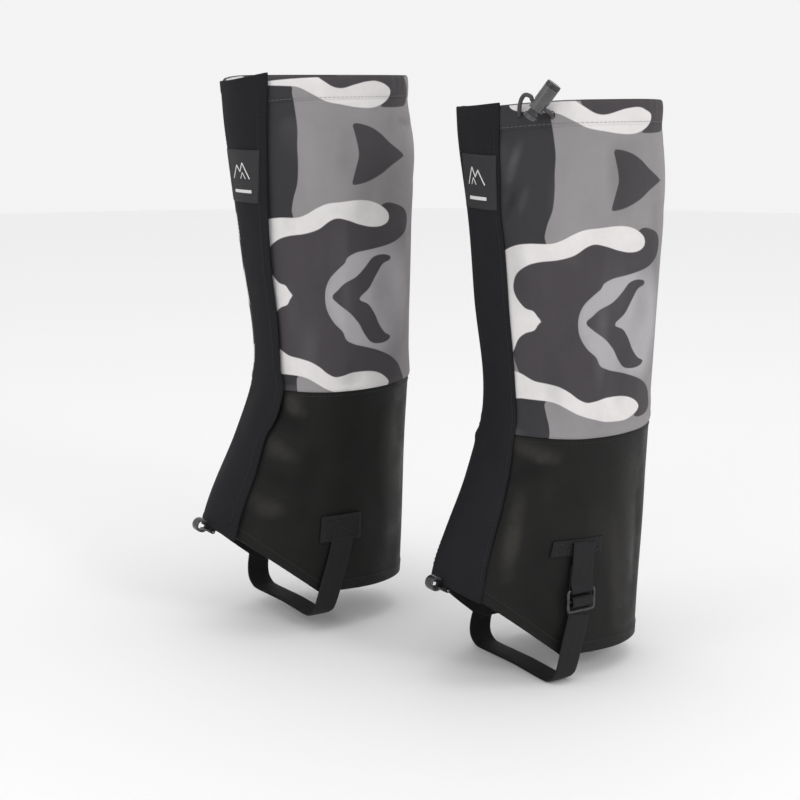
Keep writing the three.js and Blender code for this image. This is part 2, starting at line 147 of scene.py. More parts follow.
def unit(vectors: Array) -> Array:
    """Each vector of the last axis at length 1."""
    return vectors / np.linalg.norm(vectors, axis=-1, keepdims=True)


def wrapped(angle: Array) -> Array:
    """The same angles in degrees, brought between -180 and 180."""
    return (angle + 180) % 360 - 180


def ease(t: Array) -> Array:
    """Rises smoothly from 0 to 1 as t goes from 0 to 1: three t squared less two t cubed."""
    t = np.clip(t, 0, 1)
    return t * t * (3 - 2 * t)


@dataclass(frozen=True)
class Crease:
    """A soft ridge, or a valley where its height is negative, along a line on the cloth."""

    start: tuple[float, float]
    end: tuple[float, float]
    height: float
    width: float

    def push(self, angle: Array, level: Array) -> Array:
        """Works out how far the crease moves the cloth.

        The push falls off as a bell with the distance from the line, and has a shallow trough beside
        it. The bell narrows to nothing at the ends because distance is measured to the nearest point.

        Args:
            angle: degrees round the leg.
            level: heights in millimetres.

        Returns:
            Millimetres outwards.
        """
        x0, y0 = self.start[0] * ARC_PER_DEGREE, self.start[1]
        dx, dy = self.end[0] * ARC_PER_DEGREE - x0, self.end[1] - y0
        px, py = angle * ARC_PER_DEGREE - x0, level - y0
        along = np.clip((px * dx + py * dy) / (dx * dx + dy * dy), 0, 1)
        far = ((px - along * dx) ** 2 + (py - along * dy) ** 2) / self.width**2
        taper = 0.35 + 0.65 * np.sin(np.pi * np.clip(along, 0.08, 0.92))
        return self.height * taper * (1 - 0.45 * far) * np.exp(-far)


LEFT_CREASES = (
    Crease((17, 183), (52, 171), 2.3, 9),
    Crease((20, 156), (54, 166), -1.9, 8),
    Crease((33, 150), (44, 86), 2.2, 9),
    Crease((52, 128), (66, 84), -1.0, 12),
    Crease((112, 168), (110, 60), 1.2, 13),
    Crease((128, 150), (126, 52), -1.2, 9),
    Crease((60, 66), (70, 34), -1.3, 8),
    Crease((98, 120), (103, 40), 0.9, 8),
    Crease((30, 404), (22, 378), 1.1, 4.5),
    Crease((26, 372), (17, 352), -1.7, 4),
    Crease((34, 376), (27, 352), 0.9, 5),
    Crease((81, 330), (81, 215), 0.6, 7),
    Crease((108, 300), (100, 220), -0.5, 12),
    Crease((60, 400), (64, 350), 0.5, 12),
    Crease((150, 200), (172, 176), 1.6, 10),
    Crease((188, 206), (214, 178), -1.5, 10),
    Crease((147, 404), (147, 346), 2.6, 26),
    Crease((-44, 183), (-12, 179), 1.6, 5),
)
RIGHT_CREASES = (
    Crease((-28, 184), (-48, 171), 2.4, 8),
    Crease((-27, 165), (-54, 156), -1.8, 7),
    Crease((-28, 146), (-52, 134), 2.2, 9),
    Crease((-30, 122), (-58, 112), -1.7, 8),
    Crease((-32, 102), (-56, 90), 1.9, 9),
    Crease((-62, 150), (-66, 96), -1.2, 12),
    Crease((-118, 160), (-116, 60), 1.1, 12),
    Crease((-128, 402), (-146, 398), -1.6, 7),
    Crease((-80, 330), (-79, 205), 0.5, 7),
    Crease((-150, 202), (-174, 180), 1.5, 10),
    Crease((-54, 420), (-58, 340), 0.4, 12),
    Crease((-147, 402), (-147, 350), 2.8, 26),
)


@dataclass(frozen=True)
class LegForm:
    """The outside of the cloth round one leg, with its rim, its hem and its creases."""

    front_reach: Knots = ((0, 112), (79, 100), (150, 66.5), (205, 50), (290, 58.5), (390, 71), (434, 74))
    back_reach: Knots = ((0, 73), (95, 77.5), (240, 82), (340, 83), (434, 76))
    half_width: Knots = ((0, 54), (98, 57), (189, 60), (300, 67), (434, 72))
    rim_heights: dict[Leg, float] = field(default_factory=lambda: {Leg.LEFT: 434.0, Leg.RIGHT: 437.0})
    front_dips: dict[Leg, float] = field(default_factory=lambda: {Leg.LEFT: 5.0, Leg.RIGHT: 6.0})
    back_dips: dict[Leg, float] = field(default_factory=lambda: {Leg.LEFT: 3.0, Leg.RIGHT: 0.0})
    inner_dips: dict[Leg, float] = field(default_factory=lambda: {Leg.LEFT: 8.0, Leg.RIGHT: 0.0})
    seam_height: float = 189.0
    hem_front: float = 79.0
    creases: dict[Leg, tuple[Crease, ...]] = field(
        default_factory=lambda: {Leg.LEFT: LEFT_CREASES, Leg.RIGHT: RIGHT_CREASES}
    )

    def point(self, angle: Array, level: Array, offset: Array) -> Array:
        """Finds a point beside the cloth's outside.

        The form is an ellipse at each height, with one depth in front and another behind. The point
        stands off along the ellipse's normal.

        Args:
            angle: degrees from the front, rising away from the other leg.
            level: heights in millimetres.
            offset: millimetres outwards.

        Returns:
            u, v and z in millimetres.
        """
        angle, level, offset = np.broadcast_arrays(angle, level, offset)
        turn = np.radians(angle)
        front = smooth_curve(self.front_reach, level)
        back = smooth_curve(self.back_reach, level)
        reach = np.where(np.cos(turn) > 0, front, back)
        width = smooth_curve(self.half_width, level)
        normal_u, normal_v = np.sin(turn) / width, np.cos(turn) / reach
        length = np.hypot(normal_u, normal_v)
        u = width * np.sin(turn) + offset * normal_u / length
        v = reach * np.cos(turn) + offset * normal_v / length
        return np.stack([u, v, level + 0 * u], axis=-1)

    def outward(self, angle: Array, level: Array) -> Array:
        """The level direction that points straight away from the cloth."""
        return unit(self.point(angle, level, 1.0) - self.point(angle, level, 0.0))

    def rim(self, leg: Leg, angle: Array) -> Array:
        """Finds the rim's height, which dips in front and behind by powers of the cosine.

        The left rim also sags on its inner side, as a wide bell.

        Args:
            leg: the leg.
            angle: degrees round the leg.

        Returns:
            Heights in millimetres.
        """
        cosine = np.cos(np.radians(angle))
        front, behind = np.maximum(0, cosine) ** 4, np.maximum(0, -cosine) ** 2
        sag = np.exp(-((wrapped(angle + 80) / 55) ** 2))
        dips = self.front_dips[leg] * front + self.back_dips[leg] * behind + self.inner_dips[leg] * sag
        return self.rim_heights[leg] - dips

    def hem(self, angle: Array) -> Array:
        """Finds the hem's height, which falls from the toes to the strap and to the heel.

        Height and depth depend on each other, so the two are worked out in turn until they agree.

        Args:
            angle: degrees round the leg.

        Returns:
            Heights in millimetres.
        """
        heel, strap, strap_at, slope, heel_at = 17.0, 22.0, 30.0, 0.8, 73.0
        level = np.full(np.shape(angle), 40.0)
        for _ in range(24):
            ahead = self.point(angle, level, 0.0)[..., 1] - strap_at
            rise = np.maximum(slope * ahead, (strap - heel) * ahead / (strap_at + heel_at))
            level = 0.5 * level + 0.5 * np.minimum(self.hem_front, strap + rise)
        return level

    def drape(self, leg: Leg, angle: Array, level: Array) -> Array:
        """Works out how far the cloth of one leg stands off its even form.

        It is the sum of the leg's creases and of three slow waves, and it fades out near the cuff
        and round the buckle.

        Args:
            leg: the leg.
            angle: degrees round the leg.
            level: heights in millimetres.

        Returns:
            Millimetres outwards.
        """
        angle, level = np.broadcast_arrays(np.asarray(angle, float), np.asarray(level, float))
        angle = (angle + 150) % 360 - 150 if leg is Leg.LEFT else (angle + 210) % 360 - 210
        turn = np.radians(angle)
        phase = 0.7 if leg is Leg.LEFT else 2.3
        out = 0.45 * np.sin(3 * turn + level / 47 + phase) * np.sin(level / 83 + phase)
        out = out + 0.3 * np.sin(7 * turn - level / 29 + phase) + 0.16 * np.sin(13 * turn + level / 17)
        for crease in self.creases[leg]:
            out = out + crease.push(angle, level)
        near_buckle = np.exp(-(((np.abs(angle) - 84) / 15) ** 2) - ((level - 72) / 34) ** 2)
        near_hem = 1 - ease((level - self.hem(angle) + 2) / 14)
        out = out * (1 - 0.9 * near_buckle) * (1 - 0.6 * near_hem)
        return out * (1 - ease((level - 396) / 22))


FORM = LegForm()


# ---- Meshes ----


@dataclass
class Shape:
    """A surface as arrays: corners in the shared frame, faces, and a chart of the cloth in metres."""

    corners: Array
    quads: Array
    triangles: Array = field(default_factory=lambda: np.zeros((0, 3), int))
    chart: Array | None = None
    traits: dict[str, Array] = field(default_factory=dict)

    def volume(self) -> float:
        """The space that the faces close in, negative where they point inwards."""
        soup = np.concatenate([self.quads[:, [0, 1, 2]], self.quads[:, [0, 2, 3]], self.triangles])
        a, b, c = (self.corners[soup[:, i]] for i in range(3))
        return float(np.einsum("ij,ij->i", a, np.cross(b, c)).sum() / 6)

    def joined(self, other: Shape) -> Shape:
        """Puts a second shape into the same mesh.

        Args:
            other: the shape to add.

        Returns:
            One shape with the faces of both, each facing outwards.
        """
        first, second = self.outwards(), other.outwards()
        shift = len(first.corners)
        chart = None
        if first.chart is not None and second.chart is not None:
            chart = np.concatenate([first.chart, second.chart])
        return Shape(
            np.concatenate([first.corners, second.corners]),
            np.concatenate([first.quads, second.quads + shift]),
            np.concatenate([first.triangles, second.triangles + shift]),
            chart,
        )

    def outwards(self) -> Shape:
        """The same shape with its faces turned to point outwards."""
        if self.volume() < 0:
            self.quads = self.quads[:, ::-1].copy()
            self.triangles = self.triangles[:, ::-1].copy()
        return self

    def build(self, name: str) -> bpy.types.Object:
        """Makes the mesh object, smooth-shaded, with its chart and its traits.

        Args:
            name: the object's name.

        Returns:
            The new object, at the origin.
        """
        self.outwards()
        faces = self.quads.tolist() + self.triangles.tolist()
        mesh = bpy.data.meshes.new(name)
        mesh.from_pydata(self.corners.tolist(), [], faces)
        mesh.polygons.foreach_set("use_smooth", np.ones(len(faces), bool))
        if self.chart is not None:
            self._write_chart(mesh)
        for trait, values in self.traits.items():
            layer = mesh.attributes.new(trait, "FLOAT", "POINT")
            layer.data.foreach_set("value", np.ascontiguousarray(values, np.float32))
        mesh.update()
        piece = bpy.data.objects.new(name, mesh)
        bpy.context.scene.collection.objects.link(piece)
        return piece

    def _write_chart(self, mesh: bpy.types.Mesh) -> None:
        """Writes the chart as the mesh's UV map."""
        owner = np.zeros(len(mesh.loops), int)
        mesh.loops.foreach_get("vertex_index", owner)
        layer = mesh.uv_layers.new(name="cloth")
        layer.data.foreach_set("uv", self.chart[owner].astype(np.float32).ravel())


def joined_up(shapes: list[Shape]) -> Shape:
    """Every shape of a list in one mesh."""
    return reduce(Shape.joined, shapes)


def grid_faces(rows: int, columns: int, wrap_rows: bool, wrap_columns: bool) -> Array:
    """Lists the quads of a grid whose corners are numbered row by row.

    Args:
        rows: rows of corners.
        columns: corners in a row.
        wrap_rows: whether the last row joins the first.
        wrap_columns: whether the last column joins the first.

    Returns:
        Four corner numbers for each quad.
    """
    row, column = np.meshgrid(
        np.arange(rows if wrap_rows else rows - 1),
        np.arange(columns if wrap_columns else columns - 1),
        indexing="ij",
    )
    next_row, next_column = (row + 1) % rows, (column + 1) % columns
    quads = [row * columns + column, row * columns + next_column]
    quads += [next_row * columns + next_column, next_row * columns + column]
    return np.stack(quads, axis=-1).reshape(-1, 4)


def closed_cloth(
    leg: Leg,
    outer: Array,
    inner: Array,
    chart: Array,
    traits: dict[str, Array] | None = None,
    lined: bool = False,
) -> Shape:
    """Closes two grids of points into a cloth with a thickness.

    The loop runs up the outer grid, over a rounded edge half a thickness proud, down the inner grid
    and over the other edge.

    Args:
        leg: the leg that the cloth is on.
        outer: rows from the lower edge to the upper one, in the leg frame.
        inner: the same rows on the inside.
        chart: the cloth's own coordinates of each point, in millimetres.
        traits: values for each point of the grid.
        lined: whether the inside is plain, so that every trait is at its greatest there.

    Returns:
        The closed shape.
    """
    rows, columns = outer.shape[:2]

    def edge(index: int) -> Array:
        """The rounded edge beyond row 0 or beyond the last row."""
        side = -1 if index == 0 else -2
        neighbour = 1 if index == 0 else side
        middle = 0.5 * (outer[index] + inner[index])
        along = 0.5 * (outer[index] - outer[neighbour] + inner[index] - inner[neighbour])
        along = along / np.maximum(np.linalg.norm(along, axis=-1, keepdims=True), 1e-6)
        thick = np.linalg.norm(outer[index] - inner[index], axis=-1, keepdims=True)
        return middle + along * thick * 0.4

    loop = np.concatenate([outer, edge(-1)[None], inner[::-1], edge(0)[None]])
    spread = np.concatenate([chart, chart[-1:], chart[::-1], chart[:1]])
    count = len(loop)
    quads = grid_faces(count, columns, True, False)
    step = np.arange(rows - 1)
    ends = []
    caps = []
    for column in (0, columns - 1):
        low_out, high_out = step * columns + column, (step + 1) * columns + column
        high_in, low_in = (count - 3 - step) * columns + column, (count - 2 - step) * columns + column
        side = np.stack([low_out, high_out, high_in, low_in], -1)
        top = [(rows + row) * columns + column for row in (-1, 0, 1)]
        bottom = [(count - 2) * columns + column, (count - 1) * columns + column, column]
        way = -1 if column else 1
        ends.append(side[:, ::way])
        caps += [top[::way], bottom[::way]]
    spots = {}
    for trait, values in (traits or {}).items():
        behind = np.full_like(values, 12.0) if lined else values
        spots[trait] = np.concatenate([values, values[-1:], behind[::-1], values[:1]]).ravel()
    corners, spread = leg.place(loop.reshape(-1, 3)), spread.reshape(-1, 2) * MM
    return Shape(corners, np.concatenate([quads, *ends]), np.array(caps), spread, spots)


def smooth_path(knots: Array, spacing: float, closed: bool = False) -> Array:
    """Draws an even path through knots.

    It is the Catmull-Rom curve through them, read closely and then again at equal steps of length.

    Args:
        knots: the points to pass through.
        spacing: the step between points, in the knots' unit.
        closed: whether the path returns to its first knot.

    Returns:
        The path's points, without the first one repeated.
    """
    knots = np.asarray(knots, float)
    if closed:
        ring = np.concatenate([knots[-1:], knots, knots[:2]])
    else:
        ring = np.concatenate([2 * knots[:1] - knots[1:2], knots, 2 * knots[-1:] - knots[-2:-1]])
    t = np.linspace(0, 1, 24, endpoint=False)[None, :, None]
    p0, p1, p2, p3 = (ring[i : len(ring) - 3 + i, None] for i in range(4))
    fine = 0.5 * (2 * p1 + (p2 - p0) * t + (2 * p0 - 5 * p1 + 4 * p2 - p3) * t**2)
    fine = (fine + 0.5 * (3 * p1 - p0 - 3 * p2 + p3) * t**3).reshape(-1, knots.shape[1])
    fine = np.concatenate([fine, knots[:1] if closed else knots[-1:]])
    length = np.concatenate([[0], np.cumsum(np.linalg.norm(np.diff(fine, axis=0), axis=1))])
    count = max(4, int(round(length[-1] / spacing)))
    reads = np.linspace(0, length[-1], count + 1)
    path = np.stack([np.interp(reads, length, fine[:, i]) for i in range(fine.shape[1])], -1)
    return path[:-1] if closed else path


def path_frames(path: Array, across: Array, closed: bool = False) -> tuple[Array, Array]:
    """Finds the directions across a path.

    Args:
        path: the points.
        across: the direction that the section's width keeps to, as far as the path lets it.
        closed: whether the path is a ring.

    Returns:
        The unit direction of the width and of the thickness at each point.
    """
    if closed:
        tangent = np.roll(path, -1, 0) - np.roll(path, 1, 0)
    else:
        tangent = np.gradient(path, axis=0)
    tangent = tangent / np.linalg.norm(tangent, axis=1, keepdims=True)
    wide = np.broadcast_to(across, path.shape)
    wide = wide - np.sum(wide * tangent, 1, keepdims=True) * tangent
    wide = wide / np.linalg.norm(wide, axis=1, keepdims=True)
    return wide, np.cross(tangent, wide)


def band(
    leg: Leg,
    knots: Array,
    width: float,
    thick: float,
    across: Array,
    spacing: float = 1.5,
    closed: bool = False,
) -> Shape:
    """Carries a rounded flat section along a path, for webbing, a tab or a metal strip.

    The section is a superellipse: its half width and half thickness times the signed 0.35th power of
    the cosine and the sine.

    Args:
        leg: the leg that it is on.
        knots: the path of its middle, in the leg frame.
        width: across the band.
        thick: through the band.
        across: the direction of its width.
        spacing: the step along the path.
        closed: whether it is a ring.

    Returns:
        The closed shape, charted across and along.
    """
    path = smooth_path(knots, spacing, closed)
    wide, deep = path_frames(path, np.asarray(across, float), closed)
    turn = np.linspace(0, 2 * np.pi, 24, endpoint=False)
    x = 0.5 * width * np.sign(np.cos(turn)) * np.abs(np.cos(turn)) ** 0.35
    y = 0.5 * thick * np.sign(np.sin(turn)) * np.abs(np.sin(turn)) ** 0.6
    grid = path[:, None] + wide[:, None] * x[None, :, None] + deep[:, None] * y[None, :, None]
    along = np.arange(len(path)) * spacing
    chart = np.stack(np.broadcast_arrays(x[None, :] + 40, along[:, None]), -1)
    return sectioned(leg, grid, chart, closed)


def rod(leg: Leg, knots: Array, radius: Array | float, spacing: float = 0.8, closed: bool = False) -> Shape:
    """Carries a circle along a path.

    Args:
        leg: the leg that it is on.
        knots: the path of its middle, in the leg frame.
        radius: the circle's radius, or one for each point of the path.
        spacing: the step along the path.
        closed: whether it is a ring.

    Returns:
        The closed shape.
    """
    path = smooth_path(knots, spacing, closed)
    spread = np.linalg.svd(path - path.mean(0), full_matrices=False)[2][-1]
    wide, deep = path_frames(path, spread, closed)
    turn = np.linspace(0, 2 * np.pi, 16, endpoint=False)
    size = np.broadcast_to(np.asarray(radius, float).reshape(-1, 1, 1), (len(path), 1, 1))
    ring = wide[:, None] * np.cos(turn)[None, :, None] + deep[:, None] * np.sin(turn)[None, :, None]
    grid = path[:, None] + size * ring
    along = np.arange(len(path)) * spacing
    chart = np.stack(np.broadcast_arrays(turn[None, :] * 1.5, along[:, None]), -1)
    return sectioned(leg, grid, chart, closed)


def sectioned(leg: Leg, grid: Array, chart: Array, closed: bool) -> Shape:
    """Closes a grid of sections along a path into a shape.

    Args:
        leg: the leg that it is on.
        grid: one ring of points for each point of the path, in the leg frame.
        chart: its own coordinates, in millimetres.
        closed: whether the last section joins the first.

    Returns:
        The closed shape. Open ends are closed with a slightly domed cap.
    """
    count, around = grid.shape[:2]
    quads = grid_faces(count, around, closed, True)
    corners, spots = grid.reshape(-1, 3), chart.reshape(-1, 2)
    triangles = np.zeros((0, 3), int)
    if not closed:
        ends = []
        for index, inside in ((0, 1), (-1, -2)):
            middle = grid[index].mean(0)
            reach = np.abs(grid[index] - middle).sum(1).min()
            step = middle - grid[inside].mean(0)
            ends.append(middle + step / np.linalg.norm(step) * 0.25 * reach)
        corners = np.concatenate([corners, ends])
        spots = np.concatenate([spots, chart[0].mean(0)[None], chart[-1].mean(0)[None]])
        ring = np.arange(around)
        following = (ring + 1) % around
        last = (count - 1) * around
        near = np.stack([following, ring, np.full(around, count * around)], -1)
        far = np.stack([last + ring, last + following, np.full(around, count * around + 1)], -1)
        triangles = np.concatenate([near, far])
    return Shape(leg.place(corners), quads, triangles, spots * MM)


def lathe(leg: Leg, centre: Array, axis: Array, profile: Knots, around: int = 48) -> Shape:
    """Turns a closed profile round an axis.

    Args:
        leg: the leg that it is on.
        centre: the point that the profile's places are measured from, in the leg frame.
        axis: the direction of the axis.
        profile: pairs of radius and place along the axis, round a ring section that stays off the axis.
        around: the number of steps in a turn.

    Returns:
        The closed ring.
    """
    axis = np.asarray(axis, float) / np.linalg.norm(axis)
    side = np.cross(axis, [0.0, 0.0, 1.0])
    side = side / np.linalg.norm(side)
    other = np.cross(axis, side)
    turn = np.linspace(0, 2 * np.pi, around, endpoint=False)
    radius, place = np.array(profile, float).T
    ring = side * np.cos(turn)[:, None] + other * np.sin(turn)[:, None]
    grid = np.asarray(centre, float) + ring[:, None] * radius[None, :, None] + axis * place[None, :, None]
    chart = np.stack(np.broadcast_arrays(turn[:, None] * 5, place[None, :]), -1)
    return Shape(leg.place(grid.reshape(-1, 3)), grid_faces(around, len(radius), True, True),
                 chart=chart.reshape(-1, 2) * MM)


@dataclass(frozen=True)
class Stitching:
    """A row of thread stitches along a line on the cloth."""

    length: float = 2.5
    gap: float = 0.9
    thread: float = 0.26

    def row(self, leg: Leg, line: Array, outward: Array) -> Shape:
        """Sews a row.

        Each stitch is a grain of thread: a circle carried along a short arc, with its radius falling
        to nothing at both ends as the root of one less the fourth power.

        Args:
            leg: the leg that it is on.
            line: closely spaced points on the cloth's surface, in the leg frame.
            outward: the direction out of the cloth at each point.

        Returns:
            One shape that holds every stitch of the row.
        """
        steps = np.concatenate([[0], np.cumsum(np.linalg.norm(np.diff(line, axis=0), axis=1))])
        starts = np.arange(0.6, steps[-1] - self.length, self.length + self.gap)
        t = np.array([0.0, 0.06, 0.3, 0.7, 0.94, 1.0])
        reads = starts[:, None] + t[None] * self.length
        place = np.stack([np.interp(reads, steps, line[:, i]) for i in range(3)], -1)
        up = np.stack([np.interp(reads, steps, outward[:, i]) for i in range(3)], -1)
        up = unit(up)
        along = unit(place[:, -1:] - place[:, :1])
        side = np.cross(along, up)
        turn = np.linspace(0, 2 * np.pi, 6, endpoint=False)
        size = self.thread * np.sqrt(np.maximum(1 - (2 * t - 1) ** 4, 0.02))[None, :, None, None]
        lift = self.thread * (0.25 + 0.5 * (1 - (2 * t - 1) ** 2))[None, :, None]
        centre = (place + up * lift)[:, :, None]
        circle = up[:, :, None] * np.cos(turn)[:, None] + side[:, :, None] * np.sin(turn)[:, None]
        grid = centre + size * circle
        count, rings, around = len(starts), len(t), len(turn)
        tube = grid_faces(rings, around, False, True)
        lid = np.array([[0, 3, 2, 1], [0, 5, 4, 3]])
        last = (rings - 1) * around
        one = np.concatenate([tube, lid, last + lid[:, ::-1]])
        shift = (np.arange(count) * rings * around)[:, None, None]
        quads = (one[None] + shift).reshape(-1, 4)
        chart = np.zeros((count, rings, around, 2))
        chart[..., 0] = turn
        chart[..., 1] = reads[:, :, None]
        return Shape(leg.place(grid.reshape(-1, 3)), quads, chart=chart.reshape(-1, 2) * MM)


# ---- Finishes ----


class Graph:
    """A node tree that is being wired up."""

    def __init__(self, tree: bpy.types.NodeTree) -> None:
        """Takes the tree to add nodes to."""
        self.tree = tree

    def add(self, kind: str, inputs: dict | None = None, **settings: object) -> bpy.types.Node:
        """Adds a node.

        Args:
            kind: the node's type, without its Shader prefix.
            inputs: a constant or a socket for each named or numbered input.
            settings: the node's own properties.

        Returns:
            The node.
        """
        node = self.tree.nodes.new("ShaderNode" + kind)
        for key, value in settings.items():
            setattr(node, key, value)
        for key, value in (inputs or {}).items():
            if isinstance(value, bpy.types.NodeSocket):
                self.tree.links.new(value, node.inputs[key])
            else:
                node.inputs[key].default_value = value
        return node

    def math(self, operation: str, *values: object) -> bpy.types.NodeSocket:
        """Adds a Math node, and returns its value."""
        return self.add("Math", dict(enumerate(values)), operation=operation).outputs[0]

    def blend(self, factor: object, first: object, second: object) -> bpy.types.NodeSocket:
        """Mixes two colours.

        Args:
            factor: 0 for the first colour and 1 for the second.
            first: a colour or a socket.
            second: a colour or a socket.

        Returns:
            The mixed colour.
        """
        node = self.add("Mix", {0: factor, 6: first, 7: second}, data_type="RGBA")
        return node.outputs[2]

    def between(self, value: object, low: float, high: float) -> bpy.types.NodeSocket:
        """Spreads a value of 0 to 1 over low to high."""
        return self.add("MapRange", {0: value, 3: low, 4: high}).outputs[0]


def new_group(name: str, takes: dict[str, str], gives: dict[str, str]) -> tuple[Graph, dict, bpy.types.Node]:
    """Starts a node group.

    Args:
        name: the group's name.
        takes: the type of each input.
        gives: the type of each output.

    Returns:
        Its graph, its input sockets by name, and its output node.
    """
    tree = bpy.data.node_groups.new(name, "ShaderNodeTree")
    for direction, sockets in (("INPUT", takes), ("OUTPUT", gives)):
        for label, kind in sockets.items():
            tree.interface.new_socket(name=label, in_out=direction, socket_type="NodeSocket" + kind)
    source = tree.nodes.new("NodeGroupInput")
    sink = tree.nodes.new("NodeGroupOutput")
    return Graph(tree), {label: source.outputs[label] for label in takes}, sink


def weave_group() -> bpy.types.NodeTree:
    """A plain weave: warp and weft threads that pass over each other in turn."""
    graph, takes, sink = new_group(
        "weave", {"Chart": "Vector", "Thread": "Float"}, {"Height": "Float", "Shade": "Float"}
    )
    split = graph.add("SeparateXYZ", {0: takes["Chart"]})
    count = graph.math("DIVIDE", 1000.0, takes["Thread"])
    threads = [graph.math("MULTIPLY", split.outputs[i], count) for i in range(2)]
    humps = [graph.math("ABSOLUTE", graph.math("SINE", graph.math("MULTIPLY", t, math.pi))) for t in threads]
    steps = [graph.math("FLOOR", t) for t in threads]
    over = graph.math("ABSOLUTE", graph.math("MODULO", graph.math("ADD", *steps), 2.0))
    height = graph.add("Mix", {0: over, 2: humps[0], 3: humps[1]}).outputs[0]
    uneven = graph.add("TexNoise", {"Vector": takes["Chart"], "Scale": 900.0, "Detail": 2.0}).outputs[0]
    shade = graph.math("ADD", graph.math("MULTIPLY", height, 0.6), graph.math("MULTIPLY", uneven, 0.4))
    graph.tree.links.new(height, sink.inputs["Height"])
    graph.tree.links.new(shade, sink.inputs["Shade"])
    return graph.tree


def mottle_group() -> bpy.types.NodeTree:
    """Uneven tone in two sizes, for cloth, rubber and plastic that isn't quite even."""
    graph, takes, sink = new_group(
        "mottle", {"Place": "Vector", "Size": "Float"}, {"Tone": "Float", "Specks": "Float"}
    )
    scale = graph.math("DIVIDE", 1000.0, takes["Size"])
    wide = graph.add("TexNoise", {"Vector": takes["Place"], "Scale": scale, "Detail": 2.0}).outputs[0]
    finer = graph.math("MULTIPLY", scale, 5.0)
    small = graph.add("TexNoise", {"Vector": takes["Place"], "Scale": finer, "Detail": 4.0}).outputs[0]
    tone = graph.math("ADD", graph.math("MULTIPLY", wide, 0.7), graph.math("MULTIPLY", small, 0.3))
    tone = graph.add("MapRange", {0: tone, 1: 0.3, 2: 0.7}).outputs[0]
    dots = graph.add("TexNoise", {"Vector": takes["Place"], "Scale": 2600.0, "Detail": 1.0}).outputs[0]
    dots = graph.add("MapRange", {0: dots, 1: 0.66, 2: 0.78}).outputs[0]
    graph.tree.links.new(tone, sink.inputs["Tone"])
    graph.tree.links.new(dots, sink.inputs["Specks"])
    return graph.tree


def ribs_group() -> bpy.types.NodeTree:
    """Ribs across a webbing or a tape, broken up as twill lines along it."""
    graph, takes, sink = new_group(
        "ribs", {"Chart": "Vector", "Rib": "Float", "Twill": "Float"}, {"Height": "Float", "Shade": "Float"}
    )
    split = graph.add("SeparateXYZ", {0: takes["Chart"]})
    x = graph.math("MULTIPLY", split.outputs[0], 1000.0)
    y = graph.math("MULTIPLY", split.outputs[1], 1000.0)
    folded = graph.math("PINGPONG", x, 4.0)
    slanted = graph.math("ADD", y, graph.math("MULTIPLY", folded, takes["Twill"]))
    rib = graph.math("ABSOLUTE", graph.math("SINE", graph.math("DIVIDE", slanted, takes["Rib"])))
    yarn = graph.math("ABSOLUTE", graph.math("SINE", graph.math("MULTIPLY", x, 4.0)))
    height = graph.math("MULTIPLY", rib, graph.math("ADD", 0.6, graph.math("MULTIPLY", yarn, 0.4)))
    noise = graph.add("TexNoise", {"Vector": takes["Chart"], "Scale": 700.0, "Detail": 3.0}).outputs[0]
    shade = graph.math("ADD", graph.math("MULTIPLY", height, 0.65), graph.math("MULTIPLY", noise, 0.35))
    graph.tree.links.new(height, sink.inputs["Height"])
    graph.tree.links.new(shade, sink.inputs["Shade"])
    return graph.tree


def rubbed_group() -> bpy.types.NodeTree:
    """Edges and high spots rubbed brighter by handling, with fine scratches between them."""
    graph, takes, sink = new_group(
        "rubbed", {"Place": "Vector", "Amount": "Float"}, {"Edge": "Float", "Scratch": "Float"}
    )
    sharp = graph.add("NewGeometry").outputs["Pointiness"]
    edge = graph.add("MapRange", {0: sharp, 1: 0.5, 2: 0.62}).outputs[0]
    patchy = graph.add("TexNoise", {"Vector": takes["Place"], "Scale": 420.0, "Detail": 5.0}).outputs[0]
    patchy = graph.add("MapRange", {0: patchy, 1: 0.35, 2: 0.65}).outputs[0]
    edge = graph.math("MULTIPLY", graph.math("MULTIPLY", edge, patchy), takes["Amount"])
    long = graph.add("Mapping", {0: takes["Place"], 3: (1.0, 1.0, 0.12)}).outputs[0]
    lines = graph.add("TexNoise", {"Vector": long, "Scale": 2400.0, "Detail": 3.0}).outputs[0]
    scratch = graph.add("MapRange", {0: lines, 1: 0.58, 2: 0.74}).outputs[0]
    graph.tree.links.new(edge, sink.inputs["Edge"])
    graph.tree.links.new(scratch, sink.inputs["Scratch"])
    return graph.tree


